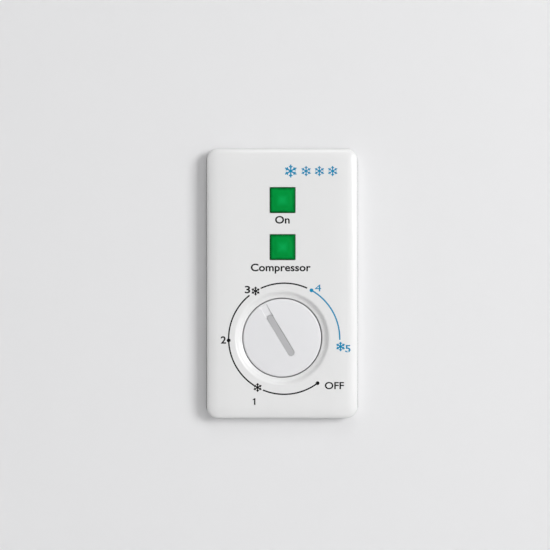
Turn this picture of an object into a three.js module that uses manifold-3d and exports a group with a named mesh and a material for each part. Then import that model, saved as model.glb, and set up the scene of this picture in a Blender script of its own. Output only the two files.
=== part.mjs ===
// A household chest freezer with its lid closed. Millimetres, +Z up, front face towards -Y.
// The origin is on the floor, in the middle of the freezer's footprint.
// The thermostat panel sits low on the front, over the compressor compartment at the right-hand end.
import * as THREE from "three";
import { mergeVertices } from "three/addons/utils/BufferGeometryUtils.js";
import Module from "manifold-3d";

const wasm = await Module();
wasm.setup();

// ---------------------------------------------------------------- driving dimensions

const cabinet = { width: 1180, depth: 640, bottom: 62, shellTop: 776, rimTop: 790, corner: 14 };
const lid = { bottom: 797, top: 862 };
const sheet = 0.8; // painted steel skins
const gap = 0.3; // between pieces that touch on the real freezer
const wall = 60; // skin to liner
const standOff = 24; // how far the handle and the rear spacers stand out
const panel = { width: 80, height: 142.8, corner: 5.75, thickness: 9.8, x: 430, z: 225 };
const dial = { z: -28.8, radius: 20.7, dishRadius: 24.4, recess: 2, pointerTilt: 31 };
const lamp = { size: 13.45, x: 0.2, upperZ: 43.9, lowerZ: 19.1 };

const halfWidth = cabinet.width / 2;
const halfDepth = cabinet.depth / 2;
const insideX = halfWidth - sheet - gap; // clear half width between the side skins
const insideY = halfDepth - sheet - gap;
const insideCorner = 16;

// The tub: a deep part, and a shallow shelf over the compressor compartment.
const tub = { x: halfWidth - wall, y: halfDepth - wall, floor: 130, shelf: 385, shelfX: 240, top: 775 };
const linerThickness = 1;
const compartment = { x: 300, top: 325 };
const hinge = { x: 400, y: halfDepth + 12, z: 800 };
const lock = { z: 800 };

// ---------------------------------------------------------------- finishes

const finish = (color, roughness, metalness = 0) =>
  new THREE.MeshStandardMaterial({ color, roughness, metalness });

const finishes = {
  whiteSteel: finish(0xe2e2e3, 0.4),
  galvanised: finish(0xa9adb0, 0.45, 0.8),
  aluminium: finish(0xc9ccd0, 0.35, 0.9),
  foam: finish(0xd8c88c, 0.95),
  copper: finish(0xb87348, 0.35, 0.9),
  blackSteel: finish(0x1c1d1f, 0.45),
  zinc: finish(0xb9bcbf, 0.35, 0.9),
  whitePlastic: finish(0xe9e9ea, 0.35),
  greyPlastic: finish(0x8f9295, 0.5),
  blackPlastic: finish(0x202123, 0.5),
  greenLens: finish(0x0c8f42, 0.15),
  clearLens: finish(0xf2f2ee, 0.2),
  rubber: finish(0x3a3b3c, 0.85),
  gasketGrey: finish(0xb4b7b9, 0.7),
  whiteWire: finish(0xe8e8e6, 0.45),
};

// ---------------------------------------------------------------- solid modelling helpers

function solidOf(geometry) {
  const loose = geometry.index ? geometry.toNonIndexed() : geometry;
  const bare = new THREE.BufferGeometry().setAttribute("position", loose.getAttribute("position"));
  const merged = mergeVertices(bare, 1e-3);
  const mesh = new wasm.Mesh({
    numProp: 3,
    vertProperties: merged.attributes.position.array,
    triVerts: new Uint32Array(merged.index.array),
  });
  return new wasm.Manifold(mesh);
}

function geometryOf(solid) {
  const mesh = solid.getMesh();
  return new THREE.BufferGeometry()
    .setAttribute("position", new THREE.BufferAttribute(mesh.vertProperties, 3))
    .setIndex(new THREE.BufferAttribute(mesh.triVerts, 1));
}

const join = (...geometries) => geometryOf(geometries.map(solidOf).reduce((a, b) => a.add(b)));

const cut = (base, ...tools) =>
  geometryOf(tools.map(solidOf).reduce((a, b) => a.subtract(b), solidOf(base)));

const common = (a, b) => geometryOf(solidOf(a).intersect(solidOf(b)));

// A box from its extents along X, Y and Z.
function block([x0, x1], [y0, y1], [z0, z1]) {
  return new THREE.BoxGeometry(x1 - x0, y1 - y0, z1 - z0).translate(
    (x0 + x1) / 2,
    (y0 + y1) / 2,
    (z0 + z1) / 2,
  );
}

// A rectangle about the origin with rounded corners; the rear corners can have a radius of their own.
function roundedRectangle(width, height, radius, upperRadius = radius) {
  const x = width / 2;
  const y = height / 2;
  const shape = new THREE.Shape();
  shape.moveTo(-x + radius, -y).lineTo(x - radius, -y);
  shape.absarc(x - radius, -y + radius, radius, -Math.PI / 2, 0, false);
  shape.lineTo(x, y - upperRadius);
  shape.absarc(x - upperRadius, y - upperRadius, upperRadius, 0, Math.PI / 2, false);
  shape.lineTo(-x + upperRadius, y);
  shape.absarc(-x + upperRadius, y - upperRadius, upperRadius, Math.PI / 2, Math.PI, false);
  shape.lineTo(-x, -y + radius);
  shape.absarc(-x + radius, -y + radius, radius, Math.PI, Math.PI * 1.5, false);
  return shape;
}

const polygon = (points) => new THREE.Shape(points.map(([x, y]) => new THREE.Vector2(x, y)));

const extrude = (shape, depth, curveSegments = 4) =>
  new THREE.ExtrudeGeometry(shape, { depth, curveSegments, bevelEnabled: false });

// A prism along Z from a shape in plan.
const upright = (shape, [z0, z1], segments) => extrude(shape, z1 - z0, segments).translate(0, 0, z0);

// A prism along Y from a shape seen from the front: the shape's own x and y become X and Z.
const frontal = (shape, [y0, y1], segments) =>
  extrude(shape, y1 - y0, segments).rotateX(Math.PI / 2).translate(0, y1, 0);

// A prism along X from a shape seen from the right: the shape's own x and y become Y and Z.
function lateral(shape, [x0, x1], segments) {
  const axes = [new THREE.Vector3(0, 1, 0), new THREE.Vector3(0, 0, 1), new THREE.Vector3(1, 0, 0)];
  return extrude(shape, x1 - x0, segments)
    .applyMatrix4(new THREE.Matrix4().makeBasis(...axes))
    .translate(x0, 0, 0);
}

// A solid of revolution about Y, from [radius, height] points in either order.
function turned(profile, sides = 20) {
  const closed = [...profile, profile[0]];
  const area = profile.reduce((sum, [r, h], i) => sum + r * closed[i + 1][1] - closed[i + 1][0] * h, 0);
  const ordered = area < 0 ? [...profile].reverse() : [...profile];
  if (profile[0][0] > 0) ordered.push(ordered[0]);
  return new THREE.LatheGeometry(
    ordered.map(([r, h]) => new THREE.Vector2(r, h)),
    sides,
  );
}

const turnedZ = (profile, sides) => turned(profile, sides).rotateX(Math.PI / 2);

const turnedX = (profile, sides) => turned(profile, sides).rotateZ(-Math.PI / 2);

const disc = (radius, [from, to]) => [
  [0, from],
  [radius, from],
  [radius, to],
  [0, to],
];

const rodX = (radius, span, y, z, sides) => turnedX(disc(radius, span), sides).translate(0, y, z);

const rodY = (radius, span, x, z, sides) => turned(disc(radius, span), sides).translate(x, 0, z);

const rodZ = (radius, span, x, y, sides) => turnedZ(disc(radius, span), sides).translate(x, y, 0);

// A path whose even steps are its own points, so that a straight run costs one step.
class Route extends THREE.Curve {
  constructor(points) {
    super();
    this.points = points;
  }
  getPoint(t, target = new THREE.Vector3()) {
    const place = t * (this.points.length - 1);
    const i = Math.min(Math.floor(place), this.points.length - 2);
    return target.copy(this.points[i]).lerp(this.points[i + 1], place - i);
  }
  getPointAt(u, target) {
    return this.getPoint(u, target);
  }
  getTangent(t, target = new THREE.Vector3()) {
    const i = Math.round(t * (this.points.length - 1));
    const before = this.points[Math.max(i - 1, 0)];
    const after = this.points[Math.min(i + 1, this.points.length - 1)];
    return target.copy(after).sub(before).normalize();
  }
  getTangentAt(u, target) {
    return this.getTangent(u, target);
  }
}

// Corner points with each corner rounded to a bend radius.
function bent(corners, radius, steps = 3) {
  const points = corners.map((p) => new THREE.Vector3(...p));
  const rounded = [points[0]];
  for (let i = 1; i < points.length - 1; i++) {
    const [before, corner, after] = points.slice(i - 1, i + 2);
    const reach = Math.min(radius, corner.distanceTo(before) * 0.49, corner.distanceTo(after) * 0.49);
    const start = before.clone().sub(corner).setLength(reach).add(corner);
    const end = after.clone().sub(corner).setLength(reach).add(corner);
    const arc = new THREE.QuadraticBezierCurve3(start, corner, end);
    rounded.push(...arc.getPoints(steps));
  }
  rounded.push(points.at(-1));
  return rounded;
}

const circle = (radius, sides) =>
  polygon(
    Array.from({ length: sides }, (_, i) => {
      const angle = (i * 2 * Math.PI) / sides;
      return [radius * Math.cos(angle), radius * Math.sin(angle)];
    }),
  );

// A round pipe along corner points, hollow where a bore is given.
function pipe(corners, { radius, bend = radius * 4, sides = 6, steps = 3, bore = 0 }) {
  const points = bent(corners, bend, steps);
  const section = circle(radius, sides);
  if (bore) section.holes.push(circle(bore, sides));
  return new THREE.ExtrudeGeometry(section, { steps: points.length - 1, extrudePath: new Route(points) });
}

// The freezer's footprint inside its skins, between two heights.
const footprint = (heights) =>
  upright(roundedRectangle(insideX * 2, insideY * 2, insideCorner, 1), heights);

const freezer = new THREE.Group();

function add(group, name, geometry, material, place = [0, 0, 0]) {
  const mesh = new THREE.Mesh(geometry, material);
  mesh.name = name;
  mesh.position.set(...place);
  group.add(mesh);
  return mesh;
}

function groupAt(parent, ...place) {
  const group = new THREE.Group();
  group.position.set(...place);
  parent.add(group);
  return group;
}

// ---------------------------------------------------------------- cabinet skins and insulation

const grille = { y: 90, z: 190, width: 300, height: 190, corner: 6 };
const drain = { x: -470, y: -190, outletZ: 96, radius: 11, bore: 9 };
const inlet = { x: 330, z: 112, width: 28, height: 21 };
const rearVent = { x: 440, width: 220, slots: 7, lowest: 190, pitch: 18, slotHeight: 8 };

function cabinetShell() {
  const outline = roundedRectangle(cabinet.width, cabinet.depth, cabinet.corner, 1);
  const inner = roundedRectangle(cabinet.width - 2 * sheet, cabinet.depth, cabinet.corner - sheet, 1);
  const heights = [cabinet.bottom, cabinet.shellTop];
  const shell = cut(upright(outline, heights), upright(inner, [0, 900]).translate(0, sheet, 0));
  const dialWindow = frontal(roundedRectangle(66, 128, 4), [-10, 10]);
  const ventWindow = lateral(roundedRectangle(grille.width, grille.height, grille.corner), [-10, 10]);
  return cut(
    shell,
    dialWindow.translate(panel.x, -halfDepth, panel.z),
    ventWindow.translate(halfWidth, grille.y, grille.z),
    rodY(drain.radius + 1, [-halfDepth - 5, -halfDepth + 5], drain.x, drain.outletZ, 12),
  );
}

function rearPanel() {
  const sheetBack = block([-insideX, insideX], [halfDepth - sheet, halfDepth], [62.3, cabinet.shellTop]);
  const slots = Array.from({ length: rearVent.slots }, (_, i) => {
    const z = rearVent.lowest + i * rearVent.pitch;
    const x = [rearVent.x - rearVent.width / 2, rearVent.x + rearVent.width / 2];
    return block(x, [halfDepth - 5, halfDepth + 5], [z, z + rearVent.slotHeight]);
  });
  const inletHole = block(
    [inlet.x - inlet.width / 2 - gap, inlet.x + inlet.width / 2 + gap],
    [halfDepth - 5, halfDepth + 5],
    [inlet.z - inlet.height / 2 - gap, inlet.z + inlet.height / 2 + gap],
  );
  return cut(sheetBack, ...slots, inletHole);
}

// The tub as a solid: the deep part and the shelf part, grown all round by the wall thickness asked for.
function tubSolid(grow, top = tub.top) {
  const rounded = 40 + grow;
  const full = roundedRectangle((tub.x + grow) * 2, (tub.y + grow) * 2, rounded);
  const deepWidth = tub.x + tub.shelfX + 2 * grow;
  const deep = upright(roundedRectangle(deepWidth, (tub.y + grow) * 2, rounded), [tub.floor - grow, top]);
  deep.translate((tub.shelfX - tub.x) / 2, 0, 0);
  return join(upright(full, [tub.shelf - grow, top]), deep);
}

function innerLiner() {
  const flangeWidth = 11;
  const flange = roundedRectangle((tub.x + flangeWidth) * 2, (tub.y + flangeWidth) * 2, 40 + flangeWidth);
  const outside = join(tubSolid(linerThickness), upright(flange, [tub.top, tub.top + linerThickness]));
  const drainHole = rodZ(drain.bore, [tub.floor - 5, tub.floor + 5], drain.x, drain.y, 12);
  return cut(outside, tubSolid(0, tub.top + 20), drainHole);
}

// The foam keeps clear channels for the coil round the tub, the coil behind the rear skin and the drain.
const coilSpace = { x: 549.5, y: 272, bottom: 395, top: 749 };
const rearCoilSpace = { left: -562, right: 299, bottom: 100, top: 735, depth: 9 };
const riser = { x: 535.3, returnX: 544, supplyY: 150, returnY: 120 };
const sensor = { x: 452, y: -267 };

function cabinetFoam() {
  const coilBand = roundedRectangle(coilSpace.x * 2, coilSpace.y * 2, 50);
  const channel = 17;
  return cut(
    footprint([cabinet.bottom + 1.7, tub.top - gap]),
    tubSolid(linerThickness + gap, tub.top + 10),
    upright(coilBand, [coilSpace.bottom, coilSpace.top]),
    block([compartment.x - 1 - gap, 700], [-400, 400], [0, compartment.top + 1 + gap]),
    block(
      [rearCoilSpace.left, rearCoilSpace.right],
      [insideY - rearCoilSpace.depth, 400],
      [rearCoilSpace.bottom, rearCoilSpace.top],
    ),
    block([528, coilSpace.x], [riser.returnY - 8, riser.supplyY + 8], [compartment.top, 400]),
    block([sensor.x - 6, sensor.x + 6], [sensor.y - 6, sensor.y + 6], [compartment.top, 400]),
    block([drain.x - channel, drain.x + channel], [drain.y - channel, drain.y + channel], [76, 140]),
    block([drain.x - channel, drain.x + channel], [-400, drain.y], [76, 116]),
  );
}

function compartmentBulkhead() {
  const upstand = block([compartment.x - 1, compartment.x], [-400, 400], [63.7, compartment.top + 1]);
  const roof = block([compartment.x - 1, 700], [-400, 400], [compartment.top, compartment.top + 1]);
  return cut(
    common(join(upstand, roof), footprint([63, 400])),
    block([528, coilSpace.x], [riser.returnY - 8, riser.supplyY + 8], [300, 340]),
    block([sensor.x - 4, sensor.x + 4], [sensor.y - 4, sensor.y + 4], [300, 340]),
    block([290, 310], [insideY - 9, 400], [240, 260]),
    block([290, 310], [insideY - 9, 400], [120, 140]),
  );
}

const roller = { x: 470, y: 235, radius: 25, width: 22, pinRadius: 4, bracketHalf: 17 };
const foot = { x: -510, y: 250, stem: 5 };

function basePan() {
  const holes = [-foot.y, foot.y].map((y) => rodZ(foot.stem + 0.5, [50, 80], foot.x, y, 12));
  return cut(footprint([cabinet.bottom, cabinet.bottom + 1.4]), ...holes);
}

// A ring in plan, from an outer half size to an inner one.
function ring([outerX, outerY, outerR], [innerX, innerY, innerR], heights) {
  const shape = roundedRectangle(outerX * 2, outerY * 2, outerR);
  shape.holes.push(roundedRectangle(innerX * 2, innerY * 2, innerR));
  return upright(shape, heights);
}

function rimFrame() {
  const skirt = tub.x - gap;
  return join(
    ring(
      [halfWidth, halfDepth, cabinet.corner],
      [tub.x - 3, tub.y - 3, 37],
      [cabinet.shellTop + gap, cabinet.rimTop],
    ),
    ring([skirt, tub.y - gap, 39.7], [tub.x - 3, tub.y - 3, 37], [751, 778]),
    ring([skirt, tub.y - gap, 39.7], [tub.x - 12, tub.y - 12, 28], [750, 762]),
  );
}

function sideGrille() {
  const shape = (grow) =>
    roundedRectangle(grille.width + grow, grille.height + grow, grille.corner + grow / 2);
  const face = lateral(shape(-0.8), [halfWidth - 5, halfWidth]);
  const flange = lateral(shape(14), [halfWidth - 5, halfWidth - sheet - gap]);
  const slots = Array.from({ length: 9 }, (_, i) => {
    const z = -80 + i * 18;
    return block([halfWidth - 20, halfWidth + 20], [-135, 135], [z, z + 9]);
  });
  return cut(join(face, flange), ...slots).translate(0, grille.y, grille.z);
}

function buildCabinet(parent) {
  add(parent, "cabinet_shell", cabinetShell(), finishes.whiteSteel);
  add(parent, "rear_panel", rearPanel(), finishes.whiteSteel);
  add(parent, "base_pan", basePan(), finishes.galvanised);
  add(parent, "cabinet_foam", withFootWells(cabinetFoam()), finishes.foam);
  add(parent, "inner_liner", innerLiner(), finishes.aluminium);
  add(parent, "rim_frame", rimFrame(), finishes.whitePlastic);
  add(parent, "compartment_bulkhead", compartmentBulkhead(), finishes.galvanised);
  add(parent, "side_grille", sideGrille(), finishes.whitePlastic);
}

function withFootWells(foam) {
  return cut(foam, ...[-foot.y, foot.y].map((y) => rodZ(foot.stem + 1, [50, 90], foot.x, y, 12)));
}

// ---------------------------------------------------------------- refrigeration circuit

function evaporatorTube() {
  const x = riser.x;
  const y = 265.3;
  const turns = 6;
  const pitch = 54;
  const first = 425;
  const corners = [
    [x, riser.supplyY, 300],
    [x, riser.supplyY, first],
  ];
  for (let turn = 0; turn < turns; turn++) {
    const z = first + turn * pitch;
    corners.push([x, y, z], [-x, y, z + pitch / 4], [-x, -y, z + pitch / 2], [x, -y, z + pitch * 0.75]);
  }
  const top = first + turns * pitch - pitch / 8;
  corners.push([x, riser.returnY - 30, top], [riser.returnX, riser.returnY, top - 12]);
  corners.push([riser.returnX, riser.returnY, 288], [495, 100, 285], [495, 100, 256]);
  return pipe(corners, { radius: 4, bend: 34 });
}

function condenserTube() {
  const y = 314.6;
  const passes = 9;
  const [left, right] = [-545, 225];
  const corners = [];
  for (let i = 0; i < passes; i++) {
    const z = 130 + i * 70;
    const ends = i % 2 ? [left, right] : [right, left];
    corners.push([ends[0], y, z], [ends[1], y, z]);
  }
  corners[0] = [right + 20, y, 130];
  corners.unshift([348, 298, 130], [332, 298, 130], [312, y, 130]);
  corners.push([-558, y, 690], [-558, y, 722], [262, y, 722], [262, y, 250]);
  corners.push([395, y, 250], [395, 306, 288], [395, 90, 288], [395, 90, 256]);
  return pipe(corners, { radius: 2.5, bend: 34 });
}

// The compressor stands on its own carrier plate, on four rubber grommets.
const compressor = { x: 445, y: 70, stretch: 1.2, grommetX: 82, grommetY: 58 };

const domeOutline = [
  [0, 196],
  [38, 193],
  [64, 176],
  [76, 140],
  [77, 106],
  [81, 104],
  [81, 98],
  [77, 96],
  [75, 50],
  [60, 26],
  [12, 20.5],
];

function compressorDome() {
  const inside = domeOutline.map(([r, h]) => [Math.max(r - 3, 0), h - Math.sign(h - 60) * 3]).reverse();
  const profile = [...domeOutline, ...inside.slice(0, -1), [0, 193]];
  profile[domeOutline.length] = [12, 24];
  return turnedZ(profile, 20).scale(compressor.stretch, 1, 1);
}

function relayCover() {
  const clearance = domeOutline.map(([r, h]) => [r ? r + 1 : 0, h]);
  const solidDome = turnedZ([...clearance, [0, 20.5]], 20).scale(compressor.stretch, 1, 1);
  return cut(block([70, 116], [-26, 26], [55, 125]), solidDome);
}

function buildCompressor(parent) {
  const unit = groupAt(parent, compressor.x, compressor.y, cabinet.bottom + 1.4);
  add(unit, "compressor_dome", compressorDome(), finishes.blackSteel);
  add(unit, "relay_cover", relayCover(), finishes.blackPlastic);
  const grommetPlaces = [-1, 1].flatMap((sx) =>
    [-1, 1].map((sy) => [sx * compressor.grommetX, sy * compressor.grommetY]),
  );
  const carrier = upright(roundedRectangle(200, 148, 14), [16, 20.2], 3);
  const holes = grommetPlaces.map(([x, y]) => rodZ(6.5, [10, 30], x, y, 12));
  add(unit, "compressor_carrier", cut(carrier, ...holes), finishes.galvanised);
  const grommet = turnedZ(
    [
      [0, gap],
      [12, gap],
      [12, 15.7],
      [6, 15.7],
      [6, 20.5],
      [9.5, 20.5],
      [8.5, 27],
      [0, 27],
    ],
    12,
  );
  grommetPlaces.forEach(([x, y], i) => {
    add(unit, `grommet_${i + 1}`, grommet, finishes.rubber, [x, y, 0]);
  });
}

function buildCircuit(parent) {
  add(parent, "evaporator_tube", evaporatorTube(), finishes.copper);
  add(parent, "condenser_tube", condenserTube(), finishes.copper);
  const drier = [
    [0, 0],
    [3, 0],
    [3, 8],
    [9, 16],
    [9, 74],
    [2, 86],
    [0, 86],
  ];
  add(parent, "filter_drier", turnedX(drier, 12), finishes.copper, [348.4, 298, 130]);
  const capillary = [
    [434.8, 298, 130],
    [470, 298, 130],
    [470, 298, 268],
    [535.3, 150, 268],
    [535.3, 150, 299.6],
  ];
  add(parent, "capillary_tube", pipe(capillary, { radius: 1.2, bend: 14 }), finishes.copper);
}

// ---------------------------------------------------------------- drain, mains inlet and rear spacers

function buildServices(parent) {
  const drainRun = [
    [drain.x, drain.y, tub.floor - 1.4],
    [drain.x, drain.y, drain.outletZ],
    [drain.x, -halfDepth - 4, drain.outletZ],
  ];
  const drainPipe = pipe(drainRun, { radius: drain.radius, bore: drain.bore, bend: 16, sides: 12 });
  add(parent, "drain_tube", drainPipe, finishes.whitePlastic);
  const plug = [
    [0, tub.floor - 8],
    [7, tub.floor - 8],
    [8, tub.floor + gap],
    [15, tub.floor + gap],
    [15, tub.floor + 3],
    [4, tub.floor + 4],
    [4, tub.floor + 14],
    [0, tub.floor + 14],
  ];
  add(parent, "drain_plug", turnedZ(plug, 16), finishes.rubber, [drain.x, drain.y, 0]);
  const cap = [
    [0, -12],
    [14, -12],
    [15, -9],
    [15, -4.3],
    [8.2, -4.3],
    [7.6, 4],
    [0, 4],
  ];
  add(parent, "drain_cap", turned(cap, 16), finishes.greyPlastic, [drain.x, -halfDepth, drain.outletZ]);

  const shroud = block([-14, 14], [-26, 1], [-10.5, 10.5]);
  const flange = frontal(roundedRectangle(44, 30, 4), [gap, 3], 2);
  const socket = block([-11, 11], [-15, 10], [-7, 7]);
  const body = cut(join(shroud, flange), socket);
  add(parent, "mains_inlet", body, finishes.blackPlastic, [inlet.x, halfDepth, inlet.z]);

  const spacerOutline = polygon([
    [gap, -45],
    [gap, 45],
    [standOff - 6, 22],
    [standOff, 14],
    [standOff, -14],
    [standOff - 6, -22],
  ]);
  const spacer = lateral(spacerOutline, [-14, 14]);
  for (const [side, x] of [["left", -520], ["right", 520]]) {
    add(parent, `rear_spacer_${side}`, spacer, finishes.greyPlastic, [x, halfDepth, 560]);
  }
}

// ---------------------------------------------------------------- rollers and feet

function buildUndercarriage(parent) {
  const drop = cabinet.bottom - gap;
  const half = roller.bracketHalf;
  const ear = polygon([
    [-22, drop],
    [22, drop],
    [9, 16],
    [-9, 16],
  ]);
  const ears = [
    [-half, -half + 2],
    [half - 2, half],
  ].map((span) => frontal(ear, span));
  const bridge = block([-30, 30], [-half, half], [drop - 2, drop]);
  const pinHole = rodY(roller.pinRadius + gap, [-40, 40], 0, roller.radius, 12);
  const bracket = cut(join(...ears, bridge), pinHole);
  const wheelHalf = roller.width / 2;
  const hubRadius = roller.pinRadius + gap;
  const wheel = turned(
    [
      [hubRadius, -wheelHalf],
      [roller.radius - 2, -wheelHalf],
      [roller.radius, -wheelHalf + 2],
      [roller.radius, wheelHalf - 2],
      [roller.radius - 2, wheelHalf],
      [hubRadius, wheelHalf],
    ],
    20,
  );
  const pin = join(
    rodY(roller.pinRadius, [-half - 1, half + 2.5], 0, 0, 12),
    rodY(roller.pinRadius + 3, [-half - 3, -half - gap], 0, 0, 12),
  );
  const footShape = turnedZ(
    [
      [0, 0],
      [22, 0],
      [23, 4],
      [14, 16],
      [14, drop],
      [foot.stem, drop],
      [foot.stem, 84],
      [0, 84],
    ],
    16,
  );
  for (const [end, side] of [["front", -1], ["rear", 1]]) {
    const truck = groupAt(parent, roller.x, side * roller.y, 0);
    add(truck, `roller_bracket_${end}`, bracket, finishes.zinc);
    add(truck, `roller_${end}`, wheel, finishes.greyPlastic, [0, 0, roller.radius]);
    add(truck, `roller_pin_${end}`, pin, finishes.zinc, [0, 0, roller.radius]);
    add(parent, `foot_${end}`, footShape, finishes.blackPlastic, [foot.x, side * foot.y, 0]);
  }
}

// ---------------------------------------------------------------- lid

const plug = { x: 500, y: 230, bottom: 777 };

function buildLid(parent) {
  const full = (inset, radius) =>
    roundedRectangle((halfWidth - inset) * 2, (halfDepth - inset) * 2, radius);
  const skin = cut(
    upright(full(0, 16), [lid.bottom, lid.top]),
    upright(full(sheet, 15.2), [lid.bottom - 5, lid.top - sheet]),
  );
  add(parent, "lid_skin", skin, finishes.whiteSteel);

  const inset = sheet + gap;
  const plugShape = (shrink) => roundedRectangle((plug.x - shrink) * 2, (plug.y - shrink) * 2, 40 - shrink);
  const liner = cut(
    join(
      upright(full(inset, 16), [lid.bottom, lid.bottom + 2]),
      upright(plugShape(0), [plug.bottom, lid.bottom + 1]),
    ),
    upright(plugShape(2), [plug.bottom + 2, lid.bottom + 10]),
  );
  add(parent, "lid_liner", liner, finishes.whitePlastic);

  const foam = join(
    upright(full(inset, 16), [lid.bottom + 2 + gap, lid.top - sheet - gap]),
    upright(plugShape(2 + gap), [plug.bottom + 2 + gap, lid.bottom + 10]),
  );
  add(parent, "lid_foam", foam, finishes.foam);

  const seal = ring(
    [halfWidth - 22, halfDepth - 22, 24],
    [halfWidth - 42, halfDepth - 42, 14],
    [cabinet.rimTop + gap, lid.bottom - gap],
  );
  add(parent, "lid_gasket", seal, finishes.gasketGrey);

  const lens = cut(
    upright(roundedRectangle(110, 46, 8), [plug.bottom - 8, plug.bottom - gap]),
    upright(roundedRectangle(104, 40, 6), [plug.bottom - 6, plug.bottom + 5]),
  );
  add(parent, "lid_lamp_lens", lens, finishes.clearLens, [0, -120, 0]);
}

function buildHandle(parent) {
  const front = -halfDepth;
  const grip = frontal(roundedRectangle(240, 44, 12), [front - standOff, front - gap], 4);
  const housing = frontal(roundedRectangle(68, 84, 12), [front - standOff, front - gap], 4);
  const fingerRoom = (x) => block(x, [front - standOff + 4, front - 5], [700, 838]);
  const camRoom = block([-30, 30], [front - 17, front + 5], [760, 832]);
  const handle = cut(
    join(grip.translate(0, 0, 828), housing.translate(0, 0, 808)),
    fingerRoom([-114, -38]),
    fingerRoom([38, 114]),
    camRoom,
    rodY(8.6, [front - 40, front], 0, lock.z, 16),
  );
  add(parent, "lid_handle", handle, finishes.whitePlastic);

  // The lock's cam is a crescent that swings under the striker's pin.
  const crescent = new THREE.Shape();
  crescent.absarc(0, 0, 25, -0.3, 0.75, false);
  crescent.absarc(0, 0, 19, 0.75, -0.3, true);
  const arm = polygon([
    [2.4, -3.3],
    [18.7, 9.5],
    [15.8, 13.6],
    [-1.6, 3.8],
  ]);
  const camPlane = [front - 12, front - 8];
  const barrel = join(
    rodY(8, [front - standOff, front - 8], 0, 0, 16),
    frontal(crescent, camPlane, 8),
    frontal(arm, camPlane),
  );
  add(parent, "lock_barrel", barrel, finishes.zinc, [0, 0, lock.z]);

  const strikerPlate = frontal(roundedRectangle(34, 38, 4), [front - 2.8, front - gap], 2);
  const strikerPin = rodY(3, [front - 14, front - 1], 0, 785, 12);
  add(
    parent,
    "lock_striker",
    join(strikerPlate.translate(0, 0, 768), strikerPin),
    finishes.zinc,
  );
}

function buildHinge(parent, side, x) {
  const group = groupAt(parent, x, hinge.y, hinge.z);
  const back = halfDepth - hinge.y; // the rear face, seen from the hinge axis
  const plate = [back + gap, back + 3];
  const barrelRadius = 7;
  const pinRadius = 3.5;
  const pinHole = rodX(pinRadius + gap, [-50, 50], 0, 0, 12);
  const baseWeb = polygon([
    [plate[0], -60],
    [plate[1], -60],
    [4, -8],
    [5.5, 0],
    [-5.5, 0],
    [plate[0], -14],
  ]);
  const armWeb = polygon([
    [plate[0], 5],
    [0, -5.5],
    [5.5, 0],
    [plate[1], 45],
    [plate[0], 45],
  ]);
  const knuckles = (web, from, to) =>
    [
      [-to, -from],
      [from, to],
    ].flatMap((span) => [lateral(web, span), rodX(barrelRadius, span, 0, 0, 16)]);
  const base = join(
    frontal(roundedRectangle(76, 78, 5), plate, 2).translate(0, 0, -53),
    ...knuckles(baseWeb, 24.2, 34),
  );
  const arm = join(
    frontal(roundedRectangle(56, 54, 5), plate, 2).translate(0, 0, 31),
    ...knuckles(armWeb, 14.2, 23.8),
  );
  const pin = join(
    rodX(pinRadius, [-38, 38], 0, 0, 12),
    rodX(pinRadius + 2.5, [35, 38], 0, 0, 12),
  );
  const springSleeve = turnedX(
    [
      [4.2, -13.6],
      [6.6, -13.6],
      [6.6, 13.6],
      [4.2, 13.6],
    ],
    12,
  );
  add(group, `hinge_base_${side}`, cut(base, pinHole), finishes.zinc);
  add(group, `hinge_arm_${side}`, cut(arm, pinHole), finishes.zinc);
  add(group, `hinge_pin_${side}`, pin, finishes.zinc);
  add(group, `hinge_spring_${side}`, springSleeve, finishes.zinc);
}

// ---------------------------------------------------------------- thermostat panel

// Its group has its origin on the cabinet's front skin, at the middle of the panel.
function controlFascia() {
  const front = -panel.thickness;
  const crown = 3.5;
  const outline = roundedRectangle(panel.width, panel.height, panel.corner);
  const pillow = new THREE.ExtrudeGeometry(outline, {
    depth: panel.thickness,
    curveSegments: 4,
    bevelThickness: crown,
    bevelSize: 5,
    bevelOffset: -5,
    bevelSegments: 3,
  })
    .rotateX(Math.PI / 2)
    .translate(0, crown, 0);
  const body = cut(pillow, block([-50, 50], [-gap, 50], [-90, 90]));
  const hollow = frontal(roundedRectangle(76, 138.8, 4), [-7.3, 5], 3);
  const dish = [
    [0, front - 1],
    [dial.dishRadius + 1.4, front - 1],
    [dial.radius + 0.5, front + dial.recess],
    [dial.radius + 0.4, 0.5],
    [0, 0.5],
  ];
  const well = turned(disc(dial.radius + 2.5, [-8.5, 2]), 24).translate(0, 0, dial.z);
  const lampWindow = (z) =>
    block(
      [lamp.x - lamp.size / 2 - 0.3, lamp.x + lamp.size / 2 + 0.3],
      [-20, 5],
      [z - lamp.size / 2 - 0.3, z + lamp.size / 2 + 0.3],
    );
  return cut(
    join(cut(body, hollow), well),
    turned(dish, 24).translate(0, 0, dial.z),
    rodY(6.2, [-5, 5], 0, dial.z, 12),
    lampWindow(lamp.upperZ),
    lampWindow(lamp.lowerZ),
  );
}

function thermostatKnob() {
  const face = -panel.thickness + dial.recess;
  const body = turned(
    [
      [0, face],
      [dial.radius - 0.3, face],
      [dial.radius, face + 0.4],
      [dial.radius, face + 4],
      [5, face + 4.2],
      [5, 2],
      [0, 2],
    ],
    24,
  );
  const slotWidth = 3.2;
  const slot = frontal(roundedRectangle(slotWidth, 24.5, 1.5), [face - 1, face + 2.2], 2);
  const ramp = lateral(
    polygon([
      [face - 1, 10],
      [face + 2.2, 10],
      [face - 0.2, 21],
      [face - 1, 21],
    ]),
    [-slotWidth / 2, slotWidth / 2],
  );
  const shaftHole = rodY(3 + gap, [face + 4.3, 20], 0, 0, 12);
  return cut(body, slot.translate(0, 0, 1.5), ramp, shaftHole);
}

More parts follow.
